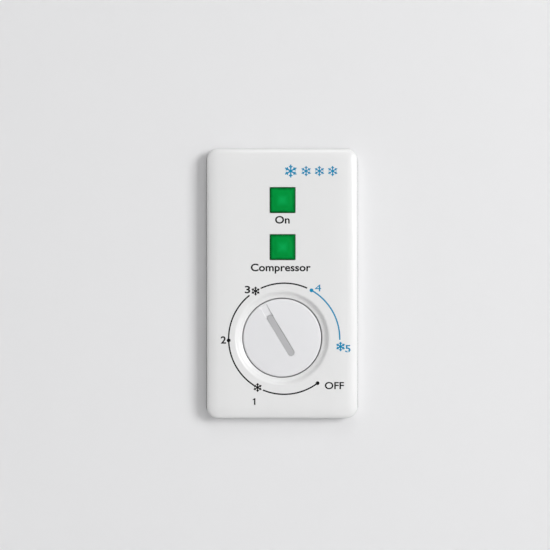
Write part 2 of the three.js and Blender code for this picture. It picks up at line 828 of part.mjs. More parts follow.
function lampLens() {
  const half = lamp.size / 2;
  return turned(
    [
      [0, -panel.thickness - 0.8],
      [(half - 1.6) * Math.SQRT2, -panel.thickness - 0.8],
      [half * Math.SQRT2, -panel.thickness + 0.6],
      [half * Math.SQRT2, -4],
      [0, -4],
    ],
    4,
  ).rotateY(Math.PI / 4);
}

function lampBody() {
  const tabs = [-3.5, 3.5].map((x) => block([x - 0.4, x + 0.4], [19, 27], [-3.2, 3.2]));
  return join(block([-6.2, 6.2], [-3.7, 20], [-6.2, 6.2]), ...tabs);
}

function buildPanel(parent) {
  const group = groupAt(parent, panel.x, -halfDepth, panel.z);
  add(group, "control_fascia", controlFascia(), finishes.whitePlastic);
  for (const [name, z] of [["power", lamp.upperZ], ["compressor", lamp.lowerZ]]) {
    add(group, `lamp_lens_${name}`, lampLens(), finishes.greenLens, [lamp.x, 0, z]);
    add(group, `lamp_body_${name}`, lampBody(), finishes.blackPlastic, [lamp.x, 0, z]);
  }

  const knob = add(group, "thermostat_knob", thermostatKnob(), finishes.whitePlastic, [0, 0, dial.z]);
  knob.rotation.y = -THREE.MathUtils.degToRad(dial.pointerTilt);
  const shaft = rodY(3, [-3.2, 11.7], 0, 0, 12);
  add(group, "thermostat_shaft", shaft, finishes.zinc, [0, 0, dial.z]);

  const switchBox = block([-22, 22], [2.3, 36], [-17, 17]);
  const body = cut(switchBox, rodY(3 + gap, [0, 12], 0, 0, 12));
  add(group, "thermostat_body", body, finishes.blackPlastic, [0, 0, dial.z]);

  const [x, y] = [sensor.x - panel.x, sensor.y + halfDepth];
  const startZ = dial.z + 17.4;
  const capillary = [
    [16, 25, startZ],
    [16, 25, startZ + 40],
    [x, y, startZ + 80],
    [x, y, 178],
    [x - 20, y, 178],
  ];
  const bulb = rodX(3, [x - 110, x - 12], y, 178, 8);
  const sensorTube = join(pipe(capillary, { radius: 1.2, bend: 8 }), bulb);
  add(group, "sensor_tube", sensorTube, finishes.copper);
}

// ---------------------------------------------------------------- wire baskets

function buildBaskets(parent) {
  const [width, depth, bottom, top] = [226, 478, 570, 768];
  const wire = 3;
  const tray = cut(
    upright(roundedRectangle(width, depth, 18), [bottom, top]),
    upright(roundedRectangle(width - 2 * wire, depth - 2 * wire, 15), [bottom + wire, top + 10]),
  );
  const hook = (side) => {
    const edges = [side * (depth / 2 - 2), side * (depth / 2 + 16)].sort((a, b) => a - b);
    return block([-width / 2 + 20, width / 2 - 20], edges, [762 + gap, top]);
  };
  const basket = join(tray, hook(-1), hook(1));
  add(parent, "basket_left", basket, finishes.whiteWire, [-400, 0, 0]);
  add(parent, "basket_right", basket, finishes.whiteWire, [400, 0, 0]);
}

buildCabinet(freezer);
buildCircuit(freezer);
buildCompressor(freezer);
buildServices(freezer);
buildUndercarriage(freezer);
buildLid(freezer);
buildHandle(freezer);
buildHinge(freezer, "left", -hinge.x);
buildHinge(freezer, "right", hinge.x);
buildPanel(freezer);
buildBaskets(freezer);

export default freezer;
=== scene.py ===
import logging
import math
from collections.abc import Iterable, Sequence
from dataclasses import dataclass, field
from enum import Enum
from functools import cache

import bmesh
import bpy
from mathutils import Matrix, Vector


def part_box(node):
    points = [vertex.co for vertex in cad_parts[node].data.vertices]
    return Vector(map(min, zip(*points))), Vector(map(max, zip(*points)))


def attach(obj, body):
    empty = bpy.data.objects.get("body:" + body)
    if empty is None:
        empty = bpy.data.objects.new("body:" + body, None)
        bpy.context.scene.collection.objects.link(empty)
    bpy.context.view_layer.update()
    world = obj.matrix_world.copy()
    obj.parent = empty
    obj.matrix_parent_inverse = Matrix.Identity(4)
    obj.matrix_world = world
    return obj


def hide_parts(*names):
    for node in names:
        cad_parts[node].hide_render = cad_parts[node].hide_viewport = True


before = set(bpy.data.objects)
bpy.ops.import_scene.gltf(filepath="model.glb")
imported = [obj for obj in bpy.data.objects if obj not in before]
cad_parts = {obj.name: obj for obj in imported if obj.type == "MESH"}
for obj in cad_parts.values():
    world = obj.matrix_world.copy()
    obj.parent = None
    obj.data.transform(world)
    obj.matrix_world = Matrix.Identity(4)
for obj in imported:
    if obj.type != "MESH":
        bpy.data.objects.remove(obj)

LOG = logging.getLogger("chest_freezer")
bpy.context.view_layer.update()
MM = 0.001  # pieces are drawn in millimetres and scaled once, when they are made

Path = list[Vector]
Profile = Sequence[tuple[float, float]]


# ---------------------------------------------------------------- places


class Facing(Enum):
    """The way a piece's outer face looks, held as the directions of its own x and y."""

    FRONT = ((1, 0, 0), (0, 0, 1))
    REAR = ((-1, 0, 0), (0, 0, 1))
    RIGHT = ((0, 1, 0), (0, 0, 1))
    UP = ((1, 0, 0), (0, 1, 0))
    DOWN = ((1, 0, 0), (0, -1, 0))

    def at(self, x: float, y: float, z: float, turn: float = 0.0) -> Matrix:
        """Stands a drawing at a point.

        Args:
            x, y, z: The point, in millimetres.
            turn: Degrees anticlockwise in the drawing's own plane.

        Returns:
            The matrix from the drawing's frame to the freezer's.
        """
        across, up = map(Vector, self.value)
        basis = Matrix((across, up, across.cross(up))).transposed().to_4x4()
        spin = Matrix.Rotation(math.radians(turn), 4, "Z")
        return Matrix.Translation((x, y, z)) @ basis @ spin


@dataclass(frozen=True)
class Extent:
    """The lowest and highest corners of a CAD node, in millimetres."""

    low: Vector
    high: Vector

    @classmethod
    def of(cls, node: str) -> "Extent":
        """Reads a node's corners from the frame."""
        low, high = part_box(node)
        return cls(low / MM, high / MM)

    @property
    def middle(self) -> Vector:
        """The point midway between the corners."""
        return (self.low + self.high) / 2

    @property
    def size(self) -> Vector:
        """The length along each axis."""
        return self.high - self.low


# ---------------------------------------------------------------- drawing


def path_round(corners: Sequence[Sequence[float]], radius: float, closed: bool = False) -> Path:
    """Rounds the corners of a wire's path.

    Args:
        corners: The path's corner points.
        radius: How far from a corner its bend starts.
        closed: Whether the path runs round to its start.

    Returns:
        The points of the rounded path, in order.
    """
    wire = bmesh.new()
    verts = [wire.verts.new(corner) for corner in corners]
    ends = zip(verts, [*verts[1:], verts[0]] if closed else verts[1:])
    for pair in ends:
        wire.edges.new(pair)
    bends = verts if closed else verts[1:-1]
    bmesh.ops.bevel(
        wire, geom=bends, offset=radius, affect="VERTICES", segments=5, profile=0.5, material=-1
    )
    tips = [vert for vert in wire.verts if len(vert.link_edges) == 1]
    first = Vector(corners[0])
    start = min(tips, key=lambda vert: (vert.co - first).length) if tips else next(iter(wire.verts))
    path, behind, here = [start.co.copy()], None, start
    while True:
        ahead = [edge.other_vert(here) for edge in here.link_edges]
        ahead = [vert for vert in ahead if vert is not behind]
        if not ahead or ahead[0] is start:
            break
        behind, here = here, ahead[0]
        path.append(here.co.copy())
    wire.free()
    return path


class Shape:
    """Closed forms that will be one piece, drawn in millimetres in the freezer's frame."""

    def __init__(self) -> None:
        """Starts with nothing drawn."""
        self.mesh = bmesh.new()

    @classmethod
    def copy_of(cls, *names: str) -> "Shape":
        """Starts from CAD nodes, merged and with their flat faces made whole.

        Args:
            names: The nodes.

        Returns:
            The shape.
        """
        shape = cls()
        for name in names:
            shape.mesh.from_mesh(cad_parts[name].data)
        mesh = shape.mesh
        bmesh.ops.scale(mesh, vec=(1 / MM,) * 3, verts=mesh.verts)
        bmesh.ops.remove_doubles(mesh, verts=mesh.verts, dist=2e-3)
        bmesh.ops.dissolve_limit(mesh, angle_limit=0.004, verts=mesh.verts, edges=mesh.edges)
        return shape

    def take(self, part: bmesh.types.BMesh, place: Matrix) -> "Shape":
        """Places a part in the shape; the part is used up.

        Args:
            part: The part, in its own frame.
            place: Where it stands.

        Returns:
            The shape itself.
        """
        bmesh.ops.transform(part, matrix=place, verts=part.verts)
        bmesh.ops.recalc_face_normals(part, faces=part.faces)
        data = bpy.data.meshes.new("working")
        part.to_mesh(data)
        part.free()
        self.mesh.from_mesh(data)
        bpy.data.meshes.remove(data)
        return self

    def plate(
        self, width: float, height: float, corner: float, steps: Profile, place: Matrix, segments: int = 6
    ) -> "Shape":
        """Raises a plate with rounded corners through steps, from the drawing's own z of 0.

        Args:
            width, height: Its size at the first level.
            corner: Its corner radius there.
            steps: How far each next level moves in and up; the first only moves up.
            place: Where the drawing stands.
            segments: Edges in each corner.

        Returns:
            The shape itself.
        """
        part = bmesh.new()
        verts = bmesh.ops.create_grid(part, x_segments=1, y_segments=1, size=0.5)["verts"]
        bmesh.ops.scale(part, vec=(width, height, 1), verts=verts)
        bmesh.ops.bevel(
            part, geom=verts, offset=corner, affect="VERTICES", segments=segments, profile=0.5, material=-1
        )
        first = face = next(iter(part.faces))
        for inset, rise in steps:
            if inset:
                bmesh.ops.inset_region(part, faces=[face], thickness=inset, depth=rise, use_even_offset=True)
                continue
            grown = bmesh.ops.extrude_face_region(part, geom=[face])["geom"]
            if face is not first:
                bmesh.ops.delete(part, geom=[face], context="FACES_ONLY")
            face = next(item for item in grown if isinstance(item, bmesh.types.BMFace))
            bmesh.ops.translate(part, vec=(0, 0, rise), verts=face.verts)
        return self.take(part, place)

    def turn(self, profile: Profile, place: Matrix, steps: int = 32) -> "Shape":
        """Spins a profile about the drawing's own z.

        Args:
            profile: A radius and a height for each point, from axis to axis.
            place: Where the drawing stands.
            steps: Sides of the turned form.

        Returns:
            The shape itself.
        """
        part = bmesh.new()
        verts = [part.verts.new((radius, 0, height)) for radius, height in profile]
        edges = [part.edges.new(pair) for pair in zip(verts, verts[1:])]
        if profile[0][0] and profile[-1][0]:
            edges.append(part.edges.new((verts[-1], verts[0])))
        bmesh.ops.spin(
            part, geom=verts + edges, cent=(0, 0, 0), axis=(0, 0, 1), angle=2 * math.pi, steps=steps,
            use_merge=True,
        )
        bmesh.ops.remove_doubles(part, verts=part.verts, dist=1e-4)
        return self.take(part, place)

    def sweep(self, path: Path, radius: float, sides: int = 8, closed: bool = False) -> "Shape":
        """Runs a round section along a path.

        Args:
            path: The centre line.
            radius: The section's radius.
            sides: The section's sides, an even number.
            closed: Whether the path is a loop.

        Returns:
            The shape itself.
        """
        curve = bpy.data.curves.new("path", "CURVE")
        curve.dimensions, curve.bevel_depth, curve.bevel_resolution = "3D", radius, sides // 2 - 2
        curve.use_fill_caps = not closed
        spline = curve.splines.new("POLY")
        spline.points.add(len(path) - 1)
        for point, spot in zip(spline.points, path):
            point.co = (*spot, 1)
        spline.use_cyclic_u = closed
        data = solid_of(curve)
        part = bmesh.new()
        part.from_mesh(data)
        bpy.data.meshes.remove(data)
        bmesh.ops.remove_doubles(part, verts=part.verts, dist=1e-4)
        return self.take(part, Matrix())

    def block(
        self, low: Sequence[float], high: Sequence[float], place: Matrix | None = None, edge: float = 0.0
    ) -> "Shape":
        """Draws a block between two corners, its edges rounded.

        Args:
            low, high: Opposite corners.
            place: A further placing, where the block leans or faces another way.
            edge: The radius of its edges.

        Returns:
            The shape itself.
        """
        part = bmesh.new()
        verts = bmesh.ops.create_cube(part, size=1.0)["verts"]
        bmesh.ops.scale(part, vec=[b - a for a, b in zip(low, high)], verts=verts)
        bmesh.ops.translate(part, vec=[(a + b) / 2 for a, b in zip(low, high)], verts=verts)
        if edge:
            bmesh.ops.bevel(
                part, geom=list(part.edges), offset=edge, affect="EDGES", segments=3, profile=0.5, material=-1
            )
        return self.take(part, place or Matrix())

    def soften(self, width: float, segments: int = 2, least: float = 30.0) -> "Shape":
        """Rounds every edge that is sharper than an angle.

        Args:
            width: The width of the rounding.
            segments: Edges across it.
            least: The angle, in degrees.

        Returns:
            The shape itself.
        """
        limit = math.radians(least)
        sharp = [edge for edge in self.mesh.edges if edge.is_manifold and edge.calc_face_angle() > limit]
        bmesh.ops.bevel(
            self.mesh, geom=sharp, offset=width, affect="EDGES", segments=segments, profile=0.5, material=-1
        )
        return self

    def combine(self, other: "Shape", operation: str = "DIFFERENCE") -> "Shape":
        """Cuts another shape out of this one, or joins the two.

        Args:
            other: The shape that cuts or joins; it is used up.
            operation: DIFFERENCE or UNION.

        Returns:
            The shape itself.
        """
        held = []
        for shape in (self, other):
            bmesh.ops.recalc_face_normals(shape.mesh, faces=shape.mesh.faces)
            data = bpy.data.meshes.new("working")
            shape.mesh.to_mesh(data)
            shape.mesh.free()
            held.append(bpy.data.objects.new("working", data))
            bpy.context.scene.collection.objects.link(held[-1])
        modifier = held[0].modifiers.new("combine", "BOOLEAN")
        modifier.operation, modifier.object, modifier.solver = operation, held[1], "EXACT"
        seen = held[0].evaluated_get(bpy.context.evaluated_depsgraph_get())
        self.mesh = bmesh.new()
        self.mesh.from_mesh(seen.to_mesh())
        seen.to_mesh_clear()
        for item in held:
            bpy.data.meshes.remove(item.data)
        return self

    def piece(
        self,
        name: str,
        finish: "Finish",
        body: str,
        stands_for: Iterable[str] = (),
        crease: float = 38.0,
        outward: bool = True,
    ) -> bpy.types.Object:
        """Makes the drawn shape a finished piece.

        Args:
            name: The piece's name.
            finish: What it is made of.
            body: The CAD body it moves with.
            stands_for: The CAD nodes it replaces.
            crease: The angle past which an edge stays sharp, in degrees.
            outward: Whether to turn its faces outward; a hollow copy already has them so.

        Returns:
            The piece.
        """
        if outward:
            bmesh.ops.recalc_face_normals(self.mesh, faces=self.mesh.faces)
        bmesh.ops.scale(self.mesh, vec=(MM, MM, MM), verts=self.mesh.verts)
        data = bpy.data.meshes.new(name)
        self.mesh.to_mesh(data)
        self.mesh.free()
        data.shade_smooth()
        data.set_sharp_from_angle(angle=math.radians(crease))
        item = bpy.data.objects.new(name, data)
        bpy.context.scene.collection.objects.link(item)
        even = item.modifiers.new("even_shading", "WEIGHTED_NORMAL")
        even.keep_sharp = True
        data.materials.append(finish.material())
        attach(item, body)
        if stands_for:
            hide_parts(*stands_for)
        LOG.info("%s on %s in %s", name, body, finish.name)
        return item


def solid_of(curve: bpy.types.Curve) -> bpy.types.Mesh:
    """Makes a curve or a text a mesh, and removes the curve.

    Args:
        curve: The curve or the text.

    Returns:
        Its mesh.
    """
    item = bpy.data.objects.new("working", curve)
    bpy.context.scene.collection.objects.link(item)
    seen = item.evaluated_get(bpy.context.evaluated_depsgraph_get())
    data = bpy.data.meshes.new_from_object(seen)
    bpy.data.objects.remove(item)
    bpy.data.curves.remove(curve)
    return data


def refined(node: str, finish: "Finish", body: str, edge: float = 0.4, segments: int = 2) -> bpy.types.Object:
    """Makes a CAD node's own shape a finished piece, its edges rounded.

    Args:
        node: The node, which the piece stands for.
        finish: What it is made of.
        body: The body it moves with.
        edge: The width of the rounding, or 0 for none.
        segments: Edges across the rounding.

    Returns:
        The piece.
    """
    shape = Shape.copy_of(node)
    if edge:
        shape.soften(edge, segments)
    return shape.piece(node + "_finished", finish, body, [node], outward=False)


# ---------------------------------------------------------------- shared shader effects


class Nodes:
    """Lays and links the nodes of one tree."""

    def __init__(self, tree: bpy.types.NodeTree) -> None:
        """Takes the tree to work in."""
        self.tree = tree

    def add(self, kind: str, settings: dict | None = None, **inputs: object) -> bpy.types.Node:
        """Adds a node.

        Args:
            kind: Its type, without the ShaderNode prefix.
            settings: Its own properties.
            inputs: Values or output sockets for its inputs, by name with spaces as underscores.

        Returns:
            The node.
        """
        node = self.tree.nodes.new(kind if kind.startswith("Node") else "ShaderNode" + kind)
        for key, value in (settings or {}).items():
            setattr(node, key, value)
        for key, value in inputs.items():
            numbered = key[0] == "i" and key[1:].isdigit()
            socket = node.inputs[int(key[1:]) if numbered else key.replace("_", " ")]
            if isinstance(value, bpy.types.NodeSocket):
                self.tree.links.new(value, socket)
            else:
                socket.default_value = value
        return node

    def math(self, operation: str, first: object, second: object = 0.0) -> bpy.types.NodeSocket:
        """Adds a Math node and returns its result."""
        return self.add("Math", {"operation": operation, "use_clamp": False}, i0=first, i1=second).outputs[0]

    def ramp(self, value: object, low: float, high: float) -> bpy.types.NodeSocket:
        """Spreads a band of values over 0 to 1 and returns the result."""
        settings = {"clamp": True, "interpolation_type": "SMOOTHSTEP"}
        return self.add("MapRange", settings, Value=value, From_Min=low, From_Max=high).outputs[0]


def effect(
    name: str, inputs: Sequence[tuple[str, str, object]], outputs: Sequence[tuple[str, str]]
) -> tuple[bpy.types.NodeTree, Nodes, bpy.types.NodeOutputs, bpy.types.Node]:
    """Starts a shader node group with named sockets.

    Args:
        name: The group's name.
        inputs: Name, kind and starting value of each input.
        outputs: Name and kind of each output.

    Returns:
        The group, its nodes, its input sockets by name and its output node.
    """
    group = bpy.data.node_groups.new(name, "ShaderNodeTree")
    for label, kind, value in inputs:
        socket = group.interface.new_socket(label, in_out="INPUT", socket_type="NodeSocket" + kind)
        socket.default_value = value
    for label, kind in outputs:
        group.interface.new_socket(label, in_out="OUTPUT", socket_type="NodeSocket" + kind)
    nodes = Nodes(group)
    given = nodes.add("NodeGroupInput").outputs
    return group, nodes, given, nodes.add("NodeGroupOutput")


@cache
def grain_effect() -> bpy.types.NodeTree:
    """Builds the group that gives grain, peel or brushing as a value from 0 to 1.

    Returns:
        The group.
    """
    group, nodes, given, out = effect(
        "grain",
        [("Stretch", "Vector", (1, 1, 1)), ("Scale", "Float", 500.0), ("Detail", "Float", 2.0)],
        [("Value", "Float")],
    )
    spot = nodes.add("TexCoord").outputs["Object"]
    drawn = nodes.add("VectorMath", {"operation": "MULTIPLY"}, i0=spot, i1=given["Stretch"])
    noise = nodes.add("TexNoise", Vector=drawn.outputs[0], Scale=given["Scale"], Detail=given["Detail"])
    group.links.new(noise.outputs["Fac"], out.inputs["Value"])
    return group


@cache
def cells_effect() -> bpy.types.NodeTree:
    """Builds the group that gives raised cells: stucco embossing, zinc spangle or foam.

    Returns:
        The group.
    """
    group, nodes, given, out = effect(
        "cells",
        [("Scale", "Float", 200.0), ("Softness", "Float", 0.6)],
        [("Height", "Float"), ("Tone", "Float")],
    )
    spot = nodes.add("TexCoord").outputs["Object"]
    smooth = {"feature": "SMOOTH_F1"}
    soft = nodes.add("TexVoronoi", smooth, Vector=spot, Scale=given["Scale"], Smoothness=given["Softness"])
    crystal = nodes.add("TexVoronoi", {"feature": "F1"}, Vector=spot, Scale=given["Scale"])
    tone = nodes.add("SeparateColor", Color=crystal.outputs["Color"]).outputs[0]
    group.links.new(nodes.math("SUBTRACT", 1.0, soft.outputs["Distance"]), out.inputs["Height"])
    group.links.new(tone, out.inputs["Tone"])
    return group


@cache
def tone_effect() -> bpy.types.NodeTree:
    """Builds the group that lets a colour and its gloss drift a little over a surface.

    Returns:
        The group.
    """
    group, nodes, given, out = effect(
        "drift_of_tone",
        [
            ("Color", "Color", (1, 1, 1, 1)),
            ("Roughness", "Float", 0.4),
            ("Mask", "Float", 0.5),
            ("Amount", "Float", 0.05),
        ],
        [("Color", "Color"), ("Roughness", "Float")],
    )
    spot = nodes.add("TexCoord").outputs["Object"]
    broad = nodes.add("TexNoise", Vector=spot, Scale=9.0, Detail=3.0).outputs["Fac"]
    mixed = nodes.math("MULTIPLY", nodes.math("ADD", broad, given["Mask"]), 0.5)
    swing = nodes.math("MULTIPLY", nodes.math("SUBTRACT", mixed, 0.5), given["Amount"])
    shade = nodes.math("ADD", 1.0, swing)
    tinted = nodes.add("VectorMath", {"operation": "SCALE"}, i0=given["Color"], Scale=shade)
    rough = nodes.math("MULTIPLY", given["Roughness"], nodes.math("SUBTRACT", 1.0, swing))
    group.links.new(tinted.outputs[0], out.inputs["Color"])
    group.links.new(rough, out.inputs["Roughness"])
    return group


@cache
def settling_effect() -> bpy.types.NodeTree:
    """Builds the group that lays a thin film of dust on ledges and rubs the edges.

    Returns:
        The group.
    """
    group, nodes, given, out = effect(
        "dust_and_rub",
        [
            ("Color", "Color", (1, 1, 1, 1)),
            ("Roughness", "Float", 0.4),
            ("Dust", "Float", 0.1),
            ("Rub", "Float", 0.0),
            ("Rubbed Color", "Color", (0.6, 0.6, 0.6, 1)),
        ],
        [("Color", "Color"), ("Roughness", "Float")],
    )
    surface = nodes.add("NewGeometry")
    spot = nodes.add("TexCoord").outputs["Object"]
    upward = nodes.add("SeparateXYZ", Vector=surface.outputs["Normal"]).outputs[2]
    speck = nodes.add("TexNoise", Vector=spot, Scale=60.0, Detail=5.0).outputs["Fac"]
    lying = nodes.math("MULTIPLY", nodes.ramp(upward, 0.35, 1.0), nodes.ramp(speck, 0.3, 0.75))
    film = nodes.math("MULTIPLY", lying, given["Dust"])
    dusty = nodes.add("MixRGB", Fac=film, Color1=given["Color"], Color2=(0.52, 0.50, 0.47, 1))
    worn = nodes.math("MULTIPLY", nodes.ramp(surface.outputs["Pointiness"], 0.52, 0.62), given["Rub"])
    rubbed = nodes.add("MixRGB", Fac=worn, Color1=dusty.outputs[0], Color2=given["Rubbed Color"])
    duller = nodes.math("MULTIPLY", film, 0.4)
    group.links.new(rubbed.outputs[0], out.inputs["Color"])
    group.links.new(nodes.math("ADD", given["Roughness"], duller), out.inputs["Roughness"])
    return group


# ---------------------------------------------------------------- finishes


class Texture(Enum):
    """The fine texture of a surface: its group and the settings that give it."""

    PEEL = ("grain", {"Scale": 420.0, "Detail": 1.0})
    SPARK = ("grain", {"Scale": 2600.0, "Detail": 3.0})
    POLISHED = ("grain", {"Scale": 160.0, "Detail": 1.0})
    BRUSHED = ("grain", {"Stretch": (40.0, 1.0, 40.0), "Scale": 60.0, "Detail": 4.0})
    DRAWN = ("grain", {"Stretch": (1.0, 1.0, 12.0), "Scale": 300.0, "Detail": 3.0})
    STUCCO = ("cells", {"Scale": 130.0, "Softness": 0.6})
    SPANGLE = ("cells", {"Scale": 120.0, "Softness": 0.1})
    SPONGE = ("cells", {"Scale": 900.0, "Softness": 0.2})


def shade(red: int, green: int, blue: int) -> tuple[float, float, float, float]:
    """Turns a display colour into the linear colour a shader takes.

    Args:
        red, green, blue: The display colour, 0 to 255 a channel.

    Returns:
        The linear colour, with an alpha of 1.
    """
    parts = (value / 255 for value in (red, green, blue))
    linear = (v / 12.92 if v <= 0.04045 else ((v + 0.055) / 1.055) ** 2.4 for v in parts)
    return (*linear, 1.0)


@dataclass(frozen=True)
class Finish:
    """What a piece is made of, as it looks."""

    name: str
    slot: str
    colour: tuple[int, int, int]
    roughness: float
    metallic: float = 0.0
    texture: Texture = Texture.SPARK
    height: float = 0.02  # of the texture, in millimetres
    drift: float = 0.04
    dust: float = 0.08
    rub: float = 0.0
    rubbed: tuple[int, int, int] = (200, 200, 200)
    coat: float = 0.0
    glow: float = 0.0
    gloss: float = 0.5  # the shader's specular level

    def material(self) -> bpy.types.Material:
        """Returns the finish's material, made the first time it is asked for."""
        return bpy.data.materials.get(self.name) or self._make()

    def _make(self) -> bpy.types.Material:
        """Builds the material from the shared effects and a Principled shader.

        Returns:
            The material.
        """
        material = bpy.data.materials.new(self.name)
        material.use_nodes = True
        material.node_tree.nodes.clear()
        nodes = Nodes(material.node_tree)
        kind, settings = self.texture.value
        pattern_group = grain_effect() if kind == "grain" else cells_effect()
        pattern = nodes.add("Group", {"node_tree": pattern_group}, **settings).outputs
        height, mask = (pattern["Value"],) * 2 if kind == "grain" else (pattern["Height"], pattern["Tone"])
        tone = nodes.add(
            "Group",
            {"node_tree": tone_effect()},
            Color=self.paint(nodes),
            Roughness=self.roughness,
            Mask=mask,
            Amount=self.drift,
        ).outputs
        worn = nodes.add(
            "Group",
            {"node_tree": settling_effect()},
            Color=tone["Color"],
            Roughness=tone["Roughness"],
            Dust=self.dust,
            Rub=self.rub,
            Rubbed_Color=shade(*self.rubbed),
        ).outputs
        bump = nodes.add("Bump", Height=height, Distance=self.height * MM, Strength=1.0)
        shader = nodes.add(
            "BsdfPrincipled",
            Base_Color=worn["Color"],
            Roughness=worn["Roughness"],
            Metallic=self.metallic,
            Normal=bump.outputs[0],
        )
        shader.inputs["Specular IOR Level"].default_value = self.gloss
        if self.coat:
            shader.inputs["Coat Weight"].default_value = self.coat
            shader.inputs["Coat Roughness"].default_value = 0.08
        self.light(nodes, shader)
        nodes.add("OutputMaterial", Surface=shader.outputs[0])
        return material

    def paint(self, nodes: Nodes) -> object:
        """Returns the colour that the effects start from."""
        return shade(*self.colour)

    def light(self, nodes: Nodes, shader: bpy.types.Node) -> None:
        """Leaves the shader as it is: a plain finish gives no light of its own."""


@dataclass(frozen=True)
class LensFinish(Finish):
    """A tinted indicator lens with a painted highlight: its colour is paler in the middle."""

    rim_colour: tuple[int, int, int] = (0, 84, 34)
    # the paler colour of the painted highlight in the lens's middle
    painted_highlight_colour: tuple[int, int, int] = (8, 164, 80)
    centre: tuple[float, float, float] = (0.0, 0.0, 0.0)
    reach: float = 6.2

    def paint(self, nodes: Nodes) -> object:
        """Colours the lens with a painted highlight in the middle, and deeper towards the rim.

        Args:
            nodes: The nodes of the lens's material.

        Returns:
            The socket that holds the colour.
        """
        spot = nodes.add("TexCoord").outputs["Object"]
        away = nodes.add("VectorMath", {"operation": "SUBTRACT"}, i0=spot, i1=[c * MM for c in self.centre])
        apart = nodes.add("VectorMath", {"operation": "ABSOLUTE"}, i0=away.outputs[0])
        sides = nodes.add("SeparateXYZ", Vector=apart.outputs[0]).outputs
        furthest = nodes.math("MAXIMUM", sides[0], sides[2])
        wander = nodes.add("TexNoise", Vector=spot, Scale=420.0, Detail=2.0).outputs["Fac"]
        uneven = nodes.math("ADD", furthest, nodes.math("MULTIPLY", wander, 1.1 * MM))
        # mask and colour of the painted highlight in the middle of the lens
        middle = nodes.ramp(uneven, 0.6 * MM, self.reach * 0.7 * MM)
        painted_highlight_mix = nodes.add("MixRGB", Fac=middle, Color1=shade(*self.painted_highlight_colour), Color2=shade(*self.colour))
        fade = nodes.ramp(uneven, self.reach * 0.86 * MM, self.reach * 1.2 * MM)
        return nodes.add("MixRGB", Fac=fade, Color1=painted_highlight_mix.outputs[0], Color2=shade(*self.rim_colour)).outputs[0]

    def light(self, nodes: Nodes, shader: bpy.types.Node) -> None:
        """Lets the lens glow a little in its own colour."""
        shader.inputs["Emission Color"].default_value = shade(*self.colour)
        shader.inputs["Emission Strength"].default_value = self.glow


WHITE_STEEL = Finish(
    "white_powder_coat", "white_steel", (236, 236, 237), 0.42, texture=Texture.PEEL, height=0.012, drift=0.012
)
GALVANISED = Finish(
    "galvanised_sheet", "galvanised", (176, 180, 183), 0.42, 0.85, Texture.SPANGLE, 0.01, 0.25, 0.25
)
ZINC = Finish("bright_zinc_plate", "zinc_steel", (198, 200, 204), 0.3, 0.95, Texture.BRUSHED, 0.01, 0.1, 0.12)
BLACK_STEEL = Finish(
    "black_enamel", "black_steel", (24, 24, 26), 0.38, 0.0, Texture.PEEL, 0.02, 0.1, 0.35, 0.3, (90, 88, 86),
    coat=0.3,
)
STUCCO_LINER = Finish(
    "stucco_aluminium", "liner_aluminium", (232, 234, 236), 0.4, 0.55, Texture.STUCCO, 0.8, 0.12, 0.05
)
COPPER = Finish(
    "drawn_copper", "copper", (184, 115, 74), 0.32, 0.95, Texture.DRAWN, 0.01, 0.3, 0.1, 0.3, (120, 70, 50)
)
FOAM = Finish("rigid_foam", "foam", (214, 196, 140), 0.95, 0.0, Texture.SPONGE, 0.3, 0.2, 0.0)
WHITE_PLASTIC = Finish(
    "white_moulding", "white_plastic", (236, 236, 237), 0.36, texture=Texture.SPARK, height=0.008, drift=0.015
)
FASCIA_WHITE = Finish(
    "glossy_white_fascia", "white_plastic", (236, 236, 236), 0.34, texture=Texture.POLISHED, height=0.003,
    drift=0.01, dust=0.02, coat=0.35,
)
KNOB_WHITE = Finish(
    "satin_white_knob", "white_plastic", (233, 233, 235), 0.42, texture=Texture.SPARK, height=0.004,
    drift=0.012, dust=0.02,
)
# grey of the pad in the knob's slot: partly the pointer's own grey, partly painted shade of the recessed slot
SLOT_GREY_AND_SHADE = Finish("grey_slot_floor_and_painted_shade", "grey_plastic", (186, 186, 188), 0.5, height=0.004, dust=0.0)
# dark grey of the ring round the panel: painted contact shadow along the panel's outline
CONTACT_SHADOW_GREY = Finish("grey_seal_painted_shadow", "gasket", (58, 59, 61), 0.8, height=0.01)
GREY_PLASTIC = Finish("grey_moulding", "grey_plastic", (150, 153, 156), 0.5, drift=0.06)
BLACK_PLASTIC = Finish(
    "black_moulding", "black_plastic", (32, 33, 35), 0.48, height=0.03, drift=0.1, dust=0.15
)
RUBBER = Finish("moulded_rubber", "rubber", (44, 45, 46), 0.8, height=0.03, drift=0.15, dust=0.2)
GASKET = Finish("soft_grey_vinyl", "gasket", (196, 198, 200), 0.55, height=0.02, drift=0.05)
WHITE_WIRE = Finish(
    "dipped_white_wire", "white_wire", (236, 236, 232), 0.4, texture=Texture.POLISHED, height=0.03
)
CLEAR_LENS = Finish(
    "frosted_lamp_lens", "clear_lens", (240, 240, 232), 0.25, texture=Texture.POLISHED, height=0.02, coat=0.3
)
BLACK_INK = Finish(
    "black_print", "black_plastic", (6, 6, 8), 0.7, height=0.001, dust=0.0, drift=0.02, gloss=0.15
)
BLUE_INK = Finish(
    "blue_print", "white_plastic", (0, 140, 184), 0.6, height=0.001, dust=0.0, drift=0.02, gloss=0.15
)
BRASS_PIN = Finish("nickel_contact", "zinc_steel", (206, 202, 190), 0.25, 1.0, Texture.DRAWN, 0.004)


# ---------------------------------------------------------------- small hardware


class Head(Enum):
    """The drive of a screw head."""

    CROSS = "cross"
    HEX = "hex"


